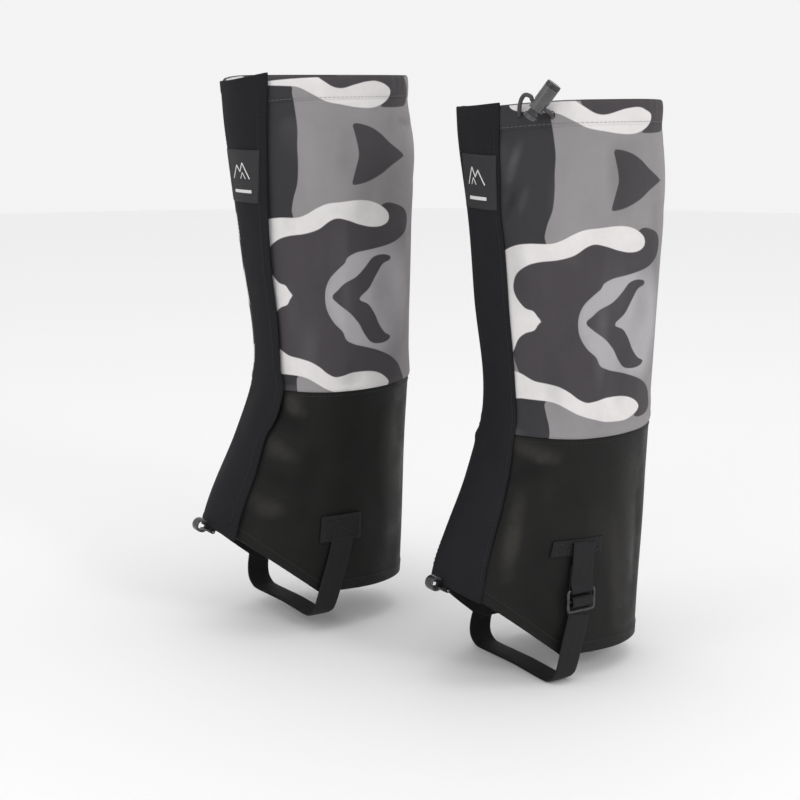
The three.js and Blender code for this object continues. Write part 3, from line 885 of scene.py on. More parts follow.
@dataclass
class Finish:
    """What every finish has: a name, a light and a dark colour, and a range of roughness."""

    name: str
    dark: tuple[float, float, float]
    light: tuple[float, float, float]
    smooth: float
    rough: float
    sheen: float = 0.0
    relief: float = 0.12
    specular: float = 0.5
    made: bpy.types.Material | None = None

    def material(self) -> bpy.types.Material:
        """The finish's material, made the first time that it is asked for."""
        if self.made is None:
            self.made = bpy.data.materials.new(self.name)
            self.made.use_nodes = True
            self.made.node_tree.nodes.clear()
            graph = Graph(self.made.node_tree)
            shader = graph.add(
                "BsdfPrincipled",
                {
                    "Sheen Weight": self.sheen,
                    "Sheen Roughness": 0.5,
                    "Specular IOR Level": self.specular,
                },
            )
            output = graph.add("OutputMaterial")
            self.made.node_tree.links.new(shader.outputs[0], output.inputs[0])
            self.wire(graph, shader)
        return self.made

    def wire(self, graph: Graph, shader: bpy.types.Node) -> None:
        """Wires the colour, roughness and relief of one kind of finish into the shader."""
        raise NotImplementedError

    def dress(self, piece: bpy.types.Object, slot: str) -> bpy.types.Object:
        """Puts the finish on a new piece.

        Args:
            piece: the piece.
            slot: the material slot that the finish stands for; not used.

        Returns:
            The piece.
        """
        piece.data.materials.clear()
        piece.data.materials.append(self.material())
        return piece

    def place(self, graph: Graph) -> bpy.types.NodeSocket:
        """Object coordinates, for patterns that don't follow the cloth."""
        return graph.add("TexCoord").outputs["Object"]

    def chart(self, graph: Graph) -> bpy.types.NodeSocket:
        """The cloth's own coordinates, in metres."""
        return graph.add("UVMap", uv_map="cloth").outputs[0]

    def colour(self, graph: Graph, factor: bpy.types.NodeSocket) -> bpy.types.NodeSocket:
        """Mixes the dark and the light colour."""
        return graph.blend(factor, (*self.dark, 1), (*self.light, 1))

    def bump(self, graph: Graph, height: object, depth: float, under: object = None) -> bpy.types.NodeSocket:
        """Adds relief.

        Args:
            graph: the material's graph.
            height: the relief's height, from 0 to 1.
            depth: its full depth in millimetres.
            under: a relief that this one lies on.

        Returns:
            The normal.
        """
        inputs = {"Height": height, "Distance": depth * MM, "Strength": 1.0}
        if under is not None:
            inputs["Normal"] = under
        return graph.add("Bump", inputs).outputs[0]


@dataclass
class WovenFinish(Finish):
    """Plain-woven cloth in one colour, with a coating where it is smooth."""

    thread: float = 0.42
    blotch: float = 26.0
    swell: float = 0.25
    # The colour and the strength of the painted highlight on the ridges of folds.
    ridge_highlight: tuple[float, float, float] = (0.06, 0.055, 0.048)
    ridge_highlight_amount: float = 0.6

    def painted_fold_light(self, graph: Graph, base: object, tone: object) -> bpy.types.NodeSocket:
        """Paints a highlight on the ridges of the folds and shade in their valleys, as colour.

        Args:
            graph: the material's graph.
            base: the cloth's colour.
            tone: an uneven tone that breaks the painted highlight up.

        Returns:
            The changed colour.
        """
        ridge = graph.add("Attribute", attribute_name="ridge").outputs["Fac"]
        high = graph.add("MapRange", {0: ridge, 1: 0.15, 2: 1.0}).outputs[0]
        high = graph.math("MULTIPLY", high, graph.between(tone, 0.3, 1.0))
        base = graph.blend(graph.math("MULTIPLY", high, self.ridge_highlight_amount), base, (*self.ridge_highlight, 1))
        low = graph.add("MapRange", {0: ridge, 1: -0.1, 2: -1.0, 3: 0.0, 4: 0.6}).outputs[0]
        return graph.blend(low, base, (*self.dark, 1))

    def wire(self, graph: Graph, shader: bpy.types.Node) -> None:
        """Threads in the relief and the shade, slow blotches in colour and gloss, and painted light and shade
        on the folds.
        """
        chart = self.chart(graph)
        weave = graph.add("Group", node_tree=GROUPS["weave"])
        graph.tree.links.new(chart, weave.inputs["Chart"])
        weave.inputs["Thread"].default_value = self.thread
        mottle = graph.add("Group", node_tree=GROUPS["mottle"])
        graph.tree.links.new(chart, mottle.inputs["Place"])
        mottle.inputs["Size"].default_value = self.blotch
        shade = graph.math("MULTIPLY", weave.outputs["Shade"], 0.5)
        factor = graph.math("ADD", shade, graph.math("MULTIPLY", mottle.outputs["Tone"], 0.5))
        lint = graph.math("MULTIPLY", mottle.outputs["Specks"], 0.12)
        base = graph.blend(lint, self.colour(graph, factor), (0.35, 0.35, 0.35, 1))
        # Painted highlight on the ridges of the folds and painted shade in their valleys.
        base = self.painted_fold_light(graph, base, mottle.outputs["Tone"])
        graph.tree.links.new(base, shader.inputs["Base Color"])
        gloss = graph.between(mottle.outputs["Tone"], self.smooth, self.rough)
        graph.tree.links.new(gloss, shader.inputs["Roughness"])
        slow = self.bump(graph, mottle.outputs["Tone"], self.swell)
        normal = self.bump(graph, weave.outputs["Height"], self.relief, slow)
        graph.tree.links.new(normal, shader.inputs["Normal"])


@dataclass
class PrintedFinish(WovenFinish):
    """Plain-woven cloth printed in white and greys, with each colour's outline held by the mesh."""

    tones: dict[str, tuple[float, float, float]] = field(default_factory=dict)
    edge: float = 0.35

    def wire(self, graph: Graph, shader: bpy.types.Node) -> None:
        """Lays the printed colours over the cloth with a painted shade along the rim, then shades them with
        the threads and paints light and shade on the folds.
        """
        chart = self.chart(graph)
        weave = graph.add("Group", node_tree=GROUPS["weave"])
        graph.tree.links.new(chart, weave.inputs["Chart"])
        weave.inputs["Thread"].default_value = self.thread
        mottle = graph.add("Group", node_tree=GROUPS["mottle"])
        graph.tree.links.new(chart, mottle.inputs["Place"])
        mottle.inputs["Size"].default_value = self.blotch
        base: object = (*self.light, 1)
        # The traits are the print's colours and the painted shade along the rim.
        for trait, tone in self.tones.items():
            outline = graph.add("Attribute", attribute_name=trait).outputs["Fac"]
            softness = 9.0 if trait == "print_pale" else self.edge
            ink = graph.add("MapRange", {0: outline, 1: softness, 2: -softness}).outputs[0]
            base = graph.blend(ink, base, (*tone, 1))
        shade = graph.math("ADD", weave.outputs["Shade"], mottle.outputs["Tone"])
        dim = graph.between(graph.math("MULTIPLY", shade, 0.5), 0.0, 0.2)
        base = graph.blend(dim, base, (*self.dark, 1))
        # Painted highlight on the ridges of the folds and painted shade in their valleys.
        base = self.painted_fold_light(graph, base, mottle.outputs["Tone"])
        graph.tree.links.new(base, shader.inputs["Base Color"])
        gloss = graph.between(mottle.outputs["Tone"], self.smooth, self.rough)
        graph.tree.links.new(gloss, shader.inputs["Roughness"])
        slow = self.bump(graph, mottle.outputs["Tone"], self.swell)
        normal = self.bump(graph, weave.outputs["Height"], self.relief, slow)
        graph.tree.links.new(normal, shader.inputs["Normal"])


@dataclass
class RibbedFinish(Finish):
    """Webbing, tape, cord or thread: ribs across its length, slanted where they are twilled."""

    rib: float = 0.45
    twill: float = 0.0

    def wire(self, graph: Graph, shader: bpy.types.Node) -> None:
        """Ribs in the relief, in the shade and a little in the gloss."""
        ribs = graph.add("Group", node_tree=GROUPS["ribs"])
        graph.tree.links.new(self.chart(graph), ribs.inputs["Chart"])
        ribs.inputs["Rib"].default_value = self.rib
        ribs.inputs["Twill"].default_value = self.twill
        base = self.colour(graph, ribs.outputs["Shade"])
        graph.tree.links.new(base, shader.inputs["Base Color"])
        gloss = graph.between(ribs.outputs["Shade"], self.smooth, self.rough)
        graph.tree.links.new(gloss, shader.inputs["Roughness"])
        normal = self.bump(graph, ribs.outputs["Height"], self.relief)
        graph.tree.links.new(normal, shader.inputs["Normal"])


@dataclass
class PileFinish(Finish):
    """The face of a closure tape: small hooks or a mat of loops."""

    pitch: float = 1.6

    def wire(self, graph: Graph, shader: bpy.types.Node) -> None:
        """Cells the size of a hook or a tuft, raised in the middle."""
        place = self.chart(graph)
        cells = graph.add("TexVoronoi", {"Vector": place, "Scale": 1000.0 / self.pitch})
        tuft = graph.math("SUBTRACT", 1.0, graph.math("MULTIPLY", cells.outputs[0], 1.2))
        # The colour follows the pile's height and is darker in the hollows between tufts: that darkening is
        # painted shade.
        base = self.colour(graph, tuft)
        graph.tree.links.new(base, shader.inputs["Base Color"])
        gloss = graph.between(tuft, self.rough, self.smooth)
        graph.tree.links.new(gloss, shader.inputs["Roughness"])
        graph.tree.links.new(self.bump(graph, tuft, self.relief), shader.inputs["Normal"])


@dataclass
class HardFinish(Finish):
    """Moulded plastic or worked metal, rubbed along its edges."""

    metal: float = 0.0
    wear: float = 0.6
    worn: tuple[float, float, float] = (0.3, 0.3, 0.31)
    grain: float = 1.0

    def wire(self, graph: Graph, shader: bpy.types.Node) -> None:
        """Fine grain, a slow change of tone, and brighter rubbed edges."""
        place = self.place(graph)
        rubbed = graph.add("Group", node_tree=GROUPS["rubbed"])
        graph.tree.links.new(place, rubbed.inputs["Place"])
        rubbed.inputs["Amount"].default_value = self.wear
        mottle = graph.add("Group", node_tree=GROUPS["mottle"])
        graph.tree.links.new(place, mottle.inputs["Place"])
        mottle.inputs["Size"].default_value = 7.0
        base = self.colour(graph, mottle.outputs["Tone"])
        base = graph.blend(rubbed.outputs["Edge"], base, (*self.worn, 1))
        graph.tree.links.new(base, shader.inputs["Base Color"])
        dull = graph.math("MULTIPLY", rubbed.outputs["Scratch"], 0.12)
        gloss = graph.math("ADD", graph.between(mottle.outputs["Tone"], self.smooth, self.rough), dull)
        graph.tree.links.new(gloss, shader.inputs["Roughness"])
        shader.inputs["Metallic"].default_value = self.metal
        takes = {"Vector": place, "Scale": 1800.0 * self.grain, "Detail": 3.0}
        fine = graph.add("TexNoise", takes).outputs[0]
        graph.tree.links.new(self.bump(graph, fine, self.relief), shader.inputs["Normal"])


GROUPS: dict[str, bpy.types.NodeTree] = {}

PRINTED = PrintedFinish(
    "printed cloth", (0.02, 0.02, 0.02), (0.31, 0.295, 0.305), 0.62, 0.78, 0.0, 0.06, 0.14,
    tones={
        "print_pale": (0.46, 0.445, 0.46),
        "print_dark": (0.072, 0.065, 0.071),
        "print_band": (0.044, 0.042, 0.047),
        "print_white": (0.83, 0.80, 0.80),
        # Painted shade, not a print colour: a dark line along the top of the rim.
        "rim_shade": (0.05, 0.05, 0.05),
    },
    ridge_highlight=(0.62, 0.6, 0.61),
    ridge_highlight_amount=0.16,
)
COATED = WovenFinish(
    "coated cloth", (0.005, 0.005, 0.0048), (0.014, 0.014, 0.0132),
    0.38, 0.62, 0.0, 0.05, 0.14,
)
FLAP = WovenFinish("flap cloth", (0.010, 0.010, 0.0115), (0.019, 0.019, 0.022), 0.6, 0.8, 0.0, 0.08, 0.1)
LABEL = WovenFinish(
    "label cloth", (0.026, 0.026, 0.028), (0.042, 0.042, 0.045),
    0.5, 0.7, 0.0, 0.07, 0.15, thread=0.3,
)
LABEL_THREAD = RibbedFinish("label thread", (0.5, 0.5, 0.5), (0.75, 0.75, 0.75), 0.5, 0.7, 0.0, 0.05, 0.2)
WEBBING = RibbedFinish(
    "webbing", (0.005, 0.005, 0.006), (0.018, 0.018, 0.02), 0.5, 0.75, 0.0, 0.22, 0.2, rib=0.42, twill=0.5
)
THREAD = RibbedFinish(
    "sewing thread", (0.014, 0.014, 0.014), (0.04, 0.04, 0.04),
    0.5, 0.7, 0.0, 0.04, 0.25, rib=0.12,
)
GREY_THREAD = RibbedFinish(
    "grey thread", (0.16, 0.16, 0.16), (0.26, 0.26, 0.26),
    0.6, 0.8, 0.0, 0.04, 0.1, rib=0.12,
)
CORD = RibbedFinish(
    "elastic cord", (0.03, 0.03, 0.032), (0.1, 0.1, 0.104),
    0.5, 0.7, 0.0, 0.12, 0.2, rib=0.3,
)
HOOK_PILE = PileFinish("hook tape", (0.006, 0.006, 0.006), (0.03, 0.03, 0.032), 0.35, 0.6, 0.0, 0.7, 0.3)
LOOP_PILE = PileFinish(
    "loop tape", (0.01, 0.01, 0.01), (0.04, 0.04, 0.042),
    0.7, 0.9, 0.1, 0.5, 0.2, pitch=1.1,
)
GREY_PLASTIC = HardFinish(
    "grey plastic", (0.045, 0.045, 0.047), (0.085, 0.085, 0.088), 0.22, 0.36, relief=0.012, specular=0.5,
    worn=(0.16, 0.16, 0.165), wear=0.5,
)
BLACK_PLASTIC = HardFinish(
    "black plastic", (0.008, 0.008, 0.009), (0.018, 0.018, 0.02), 0.22, 0.4, relief=0.015,
    worn=(0.12, 0.12, 0.13), wear=0.9,
)
DARK_METAL = HardFinish(
    "blackened metal", (0.012, 0.012, 0.013), (0.028, 0.027, 0.03), 0.14, 0.3, relief=0.01,
    metal=0.35, worn=(0.35, 0.34, 0.35), wear=0.8,
)
SPRING_STEEL = HardFinish(
    "spring steel", (0.42, 0.42, 0.43), (0.6, 0.6, 0.61), 0.2, 0.35, relief=0.006, metal=1.0,
    worn=(0.8, 0.8, 0.8),
)


# ---- The print ----


@dataclass(frozen=True)
class SnowPrint:
    """A winter print in white and greys, the same on both sides of a leg.

    Each outline is a closed smooth curve through given points: degrees from the front, and height.
    """

    centre: float = 375.0
    white: tuple[Knots, ...] = (
        ((21, 446), (23, 432), (27, 428.3), (32, 427.5), (46, 427), (52, 426), (60, 421), (68, 416),
         (78, 413.5), (88, 411.5), (98, 411), (106, 413.5), (112, 418), (113, 424), (108, 428),
         (101, 430.5), (93, 430), (86, 428), (78, 425.5),
         (72, 426.5), (66, 431), (60, 436), (50, 446), (30, 450)),
        ((8, 316), (13, 323), (22, 328), (32, 330), (45, 330.5), (52, 333), (60, 338), (67, 341), (76, 342),
         (88, 343), (97, 342), (105, 338), (111, 332), (111.5, 326), (106, 322.5), (98, 322.5), (90, 325),
         (82, 328), (74, 330), (68, 328), (60, 322), (50, 318.5), (38, 316.5), (29, 313), (21, 306),
         (18, 296), (20, 288), (26, 280.5), (32, 278.5), (34.5, 275), (37, 271), (34.5, 267.5), (32, 263.5),
         (25, 260.5), (19, 255), (13, 244), (8, 244), (4, 280)),
        ((6, 229), (15, 229), (21, 227.5), (30, 223.5), (40, 222), (49, 220), (57, 216), (64, 211), (71, 208),
         (78, 208.5), (88, 210.5), (98, 210.5), (106, 208.5), (113, 204), (117, 198.5), (114, 194),
         (106, 190.5), (98, 190.5), (90, 191.5), (80, 194), (71, 196.5), (63, 199.5), (55, 203.5), (47, 207),
         (38, 208.5), (20, 208.5), (6, 208)),
        ((168, 226), (176, 232), (184, 240), (192, 244), (192, 206), (184, 204), (174, 210), (166, 218)),
    )
    dark: tuple[Knots, ...] = (
        ((64, 433), (72, 424), (84, 424), (97, 428), (108, 424), (109, 416), (104, 412), (112, 411),
         (124, 411), (133, 412), (139, 417), (139, 424), (134, 434), (124, 446), (90, 450), (66, 446)),
        ((85, 399.5), (90, 399.5), (98, 396.5), (106, 391), (114, 384), (129, 374.5), (129.5, 374.3),
         (115, 368), (106, 362), (98, 357.5), (91, 355), (85, 354.8), (85.5, 359), (88, 369), (89.5, 376),
         (88.5, 384), (86, 394)),
        ((14, 240), (14, 252), (20, 262), (30, 266), (36, 269.5), (38, 271), (36, 273), (31, 277), (24, 281),
         (18, 288), (16, 297), (20, 309), (30, 317), (45, 321), (58, 325), (70, 334), (84, 331), (98, 332),
         (108, 339.5), (118, 338), (128, 333.5), (133, 326), (131, 317), (124, 312), (114, 308), (100, 305.5),
         (88, 303.5), (80.5, 300), (79, 296.5), (73, 291), (67, 284.5), (63.5, 276), (63, 266), (65, 258),
         (70, 250), (77, 243.5), (81, 236.5), (90, 232.5), (104, 227), (118, 219.5), (128, 211), (135, 200),
         (137, 194), (130, 190.5), (117, 190), (112, 194), (112, 203), (90, 205), (68, 204),
         (54, 212), (36, 218), (20, 226)),
        ((68.5, 270.5), (74, 264.5), (84, 257), (91, 250), (96, 240), (101, 233), (108, 231), (115, 232),
         (118, 235), (112, 239), (107, 246), (103, 255), (98, 263), (91.5, 268), (98, 275.5), (103, 285),
         (108, 293), (114, 295.5), (114, 298.5), (107, 300.5), (100, 299), (95, 292.5), (89, 285.5),
         (79, 281), (73, 275.5)),
        ((156, 372), (164, 394), (176, 404), (190, 400), (192, 344), (180, 336), (168, 344), (160, 356)),
    )
    band: tuple[Knots, ...] = (
        ((4, 448), (24, 448), (30, 430), (46, 428.5), (47.5, 421), (49, 409), (50, 396),
         (49.3, 383), (49, 370), (47.5, 356),
         (44, 345), (42, 336), (41, 327), (20, 322), (4, 322)),
        ((4, 212), (37, 211), (38, 205), (40.5, 196), (43, 189), (44.5, 180), (40, 172), (4, 172)),
    )
    pale: tuple[Knots, ...] = (
        ((60, 272), (72, 304), (92, 312), (112, 310), (126, 296), (133, 270), (130, 244), (118, 224),
         (92, 224), (72, 240)),
    )

    def distances(self, angle: Array, level: Array, stretch: float, rim: Array) -> dict[str, Array]:
        """Measures how far each point is outside each colour, and outside the painted shade along the rim.

        Args:
            angle: degrees round the leg.
            level: heights in millimetres.
            stretch: how much taller the print is than drawn.
            rim: the rim's height above each point.

        Returns:
            A signed distance in millimetres for each colour, negative inside it.
        """
        angle, level, rim = np.broadcast_arrays(angle, level, rim)
        folded = np.abs((angle + 180) % 360 - 180)
        drawn = self.centre + (level - self.centre) / stretch
        spots = np.stack([folded * ARC_PER_DEGREE, drawn], -1)
        colours = {"print_white": self.white, "print_dark": self.dark}
        colours |= {"print_band": self.band, "print_pale": self.pale}
        found = {}
        for trait, outlines in colours.items():
            each = [outline_distance(spots, outline) for outline in outlines]
            found[trait] = np.minimum.reduce(each)
        # Painted shade along the rim: the cloth within 0.9 mm of the rim's height is dark.
        found["rim_shade"] = rim - 0.9 - level
        return found


def outline_distance(spots: Array, outline: Knots) -> Array:
    """Measures the signed distance from an outline.

    It is the distance to the nearest of the outline's short straight pieces, made negative where a
    line to the right crosses the outline an odd number of times.

    Args:
        spots: points as millimetres round and millimetres up.
        outline: the outline's knots, as degrees and millimetres.

    Returns:
        The distance of each point.
    """
    ring = smooth_path(np.array(outline, float) * [ARC_PER_DEGREE, 1.0], 1.6, closed=True)
    start, end = ring, np.roll(ring, -1, 0)
    step = end - start
    flat = spots.reshape(-1, 2)
    low, high = ring.min(0) - 12, ring.max(0) + 12
    near = np.all((flat > low) & (flat < high), axis=1)
    result = np.full(len(flat), 12.0)
    for chunk in np.array_split(np.nonzero(near)[0], max(1, near.sum() // 6000)):
        away = flat[chunk, None] - start[None]
        along = np.clip((away * step).sum(-1) / np.maximum((step**2).sum(-1), 1e-9), 0, 1)
        gap = np.linalg.norm(away - along[..., None] * step, axis=-1).min(1)
        x, y = flat[chunk, 0:1], flat[chunk, 1:2]
        spans = (start[None, :, 1] > y) != (end[None, :, 1] > y)
        rise = np.where(np.abs(step[:, 1]) < 1e-9, 1e-9, step[:, 1])
        crossing = start[:, 0] + (y - start[None, :, 1]) / rise * step[:, 0]
        inside = (spans & (crossing > x)).sum(1) % 2 == 1
        result[chunk] = np.where(inside, -gap, gap)
    return np.clip(result, -12, 12).reshape(spots.shape[:-1])


PRINT = SnowPrint()


# ---- The sub-assemblies ----


@dataclass(frozen=True)
class CordRoute:
    """Where one leg's drawcord leaves the cuff, passes its lock and goes back in."""

    lock_angle: float
    lock_level: float
    rise: tuple[tuple[float, float, float], ...]
    fall: tuple[tuple[float, float, float], ...]

    @property
    def slots(self) -> tuple[tuple[float, float], ...]:
        """The angle and the height of the two slots in the cuff."""
        return self.rise[1][:2], self.fall[-2][:2]


CORD_ROUTES = {
    Leg.LEFT: CordRoute(
        42.0, 430.0,
        ((28.5, 421.5, -2.4), (29.6, 423.5, 0.8), (31, 429, 4.5), (32.6, 434, 6.5), (35, 437, 8.5),
         (38, 435.8, 9.4)),
        ((46.5, 425.5, 8), (48.0, 423, 1.0), (49.0, 423.5, -2.4)),
    ),
    Leg.RIGHT: CordRoute(
        78.0, 413.0,
        ((57, 422, -2.4), (58.5, 423, 0.8), (61.5, 424.5, 5), (65, 423.5, 8), (68.5, 421, 9.2)),
        ((89, 413.5, 6.5), (92.5, 420.5, 1.0), (93.5, 421.5, -2.4)),
    ),
}


@dataclass
class Gaiter:
    """What the sub-assemblies of one gaiter share."""

    leg: Leg
    pieces: list[bpy.types.Object] = field(default_factory=list)

    def keep(self, piece: bpy.types.Object, body: str, *nodes: str) -> bpy.types.Object:
        """Makes a finished piece ride on a body and stand for CAD nodes.

        Args:
            piece: the piece.
            body: the body's full name.
            nodes: the parts that it replaces, without the leg's name.

        Returns:
            The piece.
        """
        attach(piece, body)
        self.note(piece, body, *nodes)
        return piece

    def bend(
        self, piece: bpy.types.Object, body: str, start: Array, end: Array, *nodes: str
    ) -> bpy.types.Object:
        """Bakes a finished piece's placing into its mesh and records it as lying on the worn cloth and a
        moving body; it is not attached to either, and does not bend.

        Args:
            piece: the piece.
            body: the moving body's full name.
            start: where the worn cloth ends, in the leg frame; not used.
            end: where the moving body begins, in the leg frame; not used.
            nodes: the parts that it replaces, without the leg's name.

        Returns:
            The piece.
        """
        first, last = self.leg.place(np.array([start, end], float))
        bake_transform(piece)
        self.note(piece, f"{ROOT} and {body}", *nodes)
        return piece

    def made(self, shape: Shape, finish: Finish, part: str, slot: str) -> bpy.types.Object:
        """Builds a shape as a part of this leg, in a finish that fills a material slot."""
        return finish.dress(shape.build(self.leg.name(part)), slot)

    def cloth_over(self, angle: Array, level: Array, outer: Array, inner: Array) -> Shape:
        """Lays a closed cloth over the leg's form.

        Args:
            angle: degrees round the leg, for a grid of points.
            level: their heights in millimetres.
            outer: how far the outside stands off the form.
            inner: how far the inside does.

        Returns:
            The closed cloth, charted in millimetres round and up.
        """
        chart = np.stack([(angle + 180) * ARC_PER_DEGREE, level], -1)
        return closed_cloth(
            self.leg, FORM.point(angle, level, outer), FORM.point(angle, level, inner), chart
        )

    def note(self, piece: bpy.types.Object, body: str, *nodes: str) -> None:
        """Records what a piece replaces, and reports it."""
        if nodes:
            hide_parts(*(self.leg.name(node) for node in nodes))
        self.pieces.append(piece)
        LOG.info("%s on %s, %d faces", piece.name, body, len(piece.data.polygons))


def ridges(out: Array) -> Array:
    """How far each corner of a closed cloth is on a ridge: -1 in a valley to 1, and 0 inside it."""
    # The cloth's finish paints a highlight on the ridges and shade in the valleys from these values.
    share = np.clip(out / 2.0, -1, 1)
    return np.concatenate([share, share[-1:], 0 * share, share[:1]]).ravel()


@dataclass
class ClothTube(Gaiter):
    """The printed upper, the cuff that holds the drawcord, and the coated lower panel."""

    columns: int = 288
    upper_rows: int = 118
    lower_rows: int = 88
    cloth: float = 1.2
    cuff_depth: float = 18.0
    print_stretch: dict[Leg, float] = field(default_factory=lambda: {Leg.LEFT: 0.955, Leg.RIGHT: 1.045})

    def angles(self) -> Array:
        """The columns' angles, from one edge of the front opening round the back to the other."""
        return wrapped(np.linspace(*OPENING, self.columns))

    def panel(self, bottom: Array, top: Array, rows: int) -> tuple[Array, Array, Array]:
        """Lays out the rows of a panel between two edges.

        Args:
            bottom: the lower edge's height at each column.
            top: the upper edge's height at each column.
            rows: the number of rows.

        Returns:
            Each point's angle, height and drape.
        """
        share = np.linspace(0, 1, rows)[:, None]
        level = bottom[None] + (top - bottom)[None] * share
        angle = np.broadcast_to(self.angles()[None], level.shape)
        return angle, level, FORM.drape(self.leg, angle, level)

    def chart(self, angle: Array, level: Array) -> Array:
        """The cloth's own coordinates: millimetres round and millimetres up."""
        return np.stack(np.broadcast_arrays((angle - OPENING[0] + 1) % 360 * ARC_PER_DEGREE, level), -1)

    def upper(self) -> None:
        """The printed upper, from the seam to the cuff, slightly turned under at its lower edge."""
        angle = self.angles()
        angle, level, out = self.panel(
            np.full(self.columns, FORM.seam_height - 0.4),
            FORM.rim(self.leg, angle) - self.cuff_depth,
            self.upper_rows,
        )
        fold = 0.55 * np.exp(-(((level - FORM.seam_height - 2) / 3.2) ** 2))
        out = out + fold
        traits = PRINT.distances(angle, level, self.print_stretch[self.leg], FORM.rim(self.leg, angle))
        shape = closed_cloth(
            self.leg, FORM.point(angle, level, out), FORM.point(angle, level, out - self.cloth),
            self.chart(angle, level), traits, lined=True,
        )
        shape.traits["ridge"] = ridges(out)
        piece = self.made(shape, PRINTED, "upper_cloth", "printed_cloth")
        self.keep(piece, ROOT, "upper_shell")

    def cuff(self) -> None:
        """The cuff: the cloth folded over the drawcord and sewn down, drawn into small puckers.

        One strip of cloth runs up the outside, over the rim and down the inside to the stitches. Its section
        is a smooth path through listed points, and its other face is that path moved inwards.
        """
        section = (
            (0.1, -17.9), (0.5, -13.5), (0.75, -8.5), (0.6, -4), (0.1, -1.3), (-1.1, -0.1), (-2.4, -0.6),
            (-4.6, -2.6), (-6.2, -5.5), (-6.6, -9.5), (-5.8, -13.5), (-3.9, -16.3), (-2.7, -17.6),
        )
        path = smooth_path(np.array(section, float), 1.4)
        along = unit(np.gradient(path, axis=0))
        inside = path + 0.85 * np.stack([-along[:, 1], along[:, 0]], -1)
        angle = self.angles()
        rim = FORM.rim(self.leg, angle)
        turn = np.radians(angle)
        pucker = 0.3 * np.sin(37 * turn + 2.6 * np.sin(3 * turn)) + 0.22 * np.sin(19 * turn + 1.0)
        free = np.sin(np.pi * np.linspace(0, 1, len(path)))[:, None] ** 0.7
        faces = []
        for face in (path, inside):
            level = rim[None] + face[:, 1:]
            out = face[:, :1] + pucker[None] * free + FORM.drape(self.leg, angle[None], level)
            faces.append(FORM.point(angle[None], level, out))
        outside = rim[None] + np.broadcast_to(path[:, 1:], (len(path), self.columns))
        traits = PRINT.distances(angle[None], outside, self.print_stretch[self.leg], rim[None])
        rows_up = 415 + 1.4 * np.arange(len(path))[:, None]
        spread = self.chart(np.broadcast_to(angle[None], outside.shape), rows_up)
        shape = closed_cloth(self.leg, faces[0], faces[1], spread, traits)
        piece = self.made(shape, PRINTED, "cuff", "printed_cloth")
        self.keep(piece, ROOT, "cuff_casing")
        self.eyelets()

    def eyelets(self) -> None:
        """The two stitched slots in the cuff that the drawcord comes out of."""
        rings = []
        for angle, level in CORD_ROUTES[self.leg].slots:
            turn = np.linspace(0, 2 * np.pi, 13)[:-1]
            ring_angle = angle + 1.8 * np.cos(turn) / ARC_PER_DEGREE
            ring_level = level + 2.6 * np.sin(turn)
            out = FORM.drape(self.leg, ring_angle, ring_level) + 0.85
            rings.append(rod(self.leg, FORM.point(ring_angle, ring_level, out), 0.32, 0.8, closed=True))
        self.keep(self.made(joined_up(rings), THREAD, "cord_slots", "cord"), ROOT)

    def lower(self) -> None:
        """The coated lower panel, from the shaped hem to the seam, doubled over along the hem."""
        angle = self.angles()
        angle, level, out = self.panel(
            FORM.hem(angle), np.full(self.columns, FORM.seam_height - 1.2), self.lower_rows
        )
        above_hem = level - level[:1]
        out = out + 0.5 * (1 - ease((above_hem - 9) / 2.5))
        out = out - 0.35 * np.exp(-(((level - FORM.seam_height) / 3) ** 2))
        shape = closed_cloth(
            self.leg, FORM.point(angle, level, out), FORM.point(angle, level, out - self.cloth - 0.4),
            self.chart(angle, level),
        )
        shape.traits["ridge"] = ridges(FORM.drape(self.leg, angle, level))
        piece = self.made(shape, COATED, "lower_cloth", "coated_cloth")
        self.keep(piece, ROOT, "lower_shell")

    def sew(self) -> None:
        """The rows of stitches under the cuff, along the seam and along the hem."""
        angle = wrapped(np.linspace(OPENING[0] + 1, OPENING[1] - 1, 721))
        lines = {
            "cuff_stitches": (FORM.rim(self.leg, angle) - self.cuff_depth + 2.0, 0.35, GREY_THREAD, 0.16),
            "seam_stitches": (np.full(angle.shape, FORM.seam_height - 4.0), -0.1, THREAD, 0.26),
            "hem_stitches": (FORM.hem(angle) + 8.0, 0.35, THREAD, 0.26),
        }
        for name, (level, lift, finish, thread) in lines.items():
            out = FORM.drape(self.leg, angle, level) + lift
            line = FORM.point(angle, level, out)
            shape = Stitching(thread=thread).row(self.leg, line, FORM.outward(angle, level))
            self.keep(self.made(shape, finish, name, "coated_cloth"), ROOT)

    def build(self) -> None:
        """Makes every piece of the tube."""
        self.upper()
        self.cuff()
        self.lower()
        self.sew()


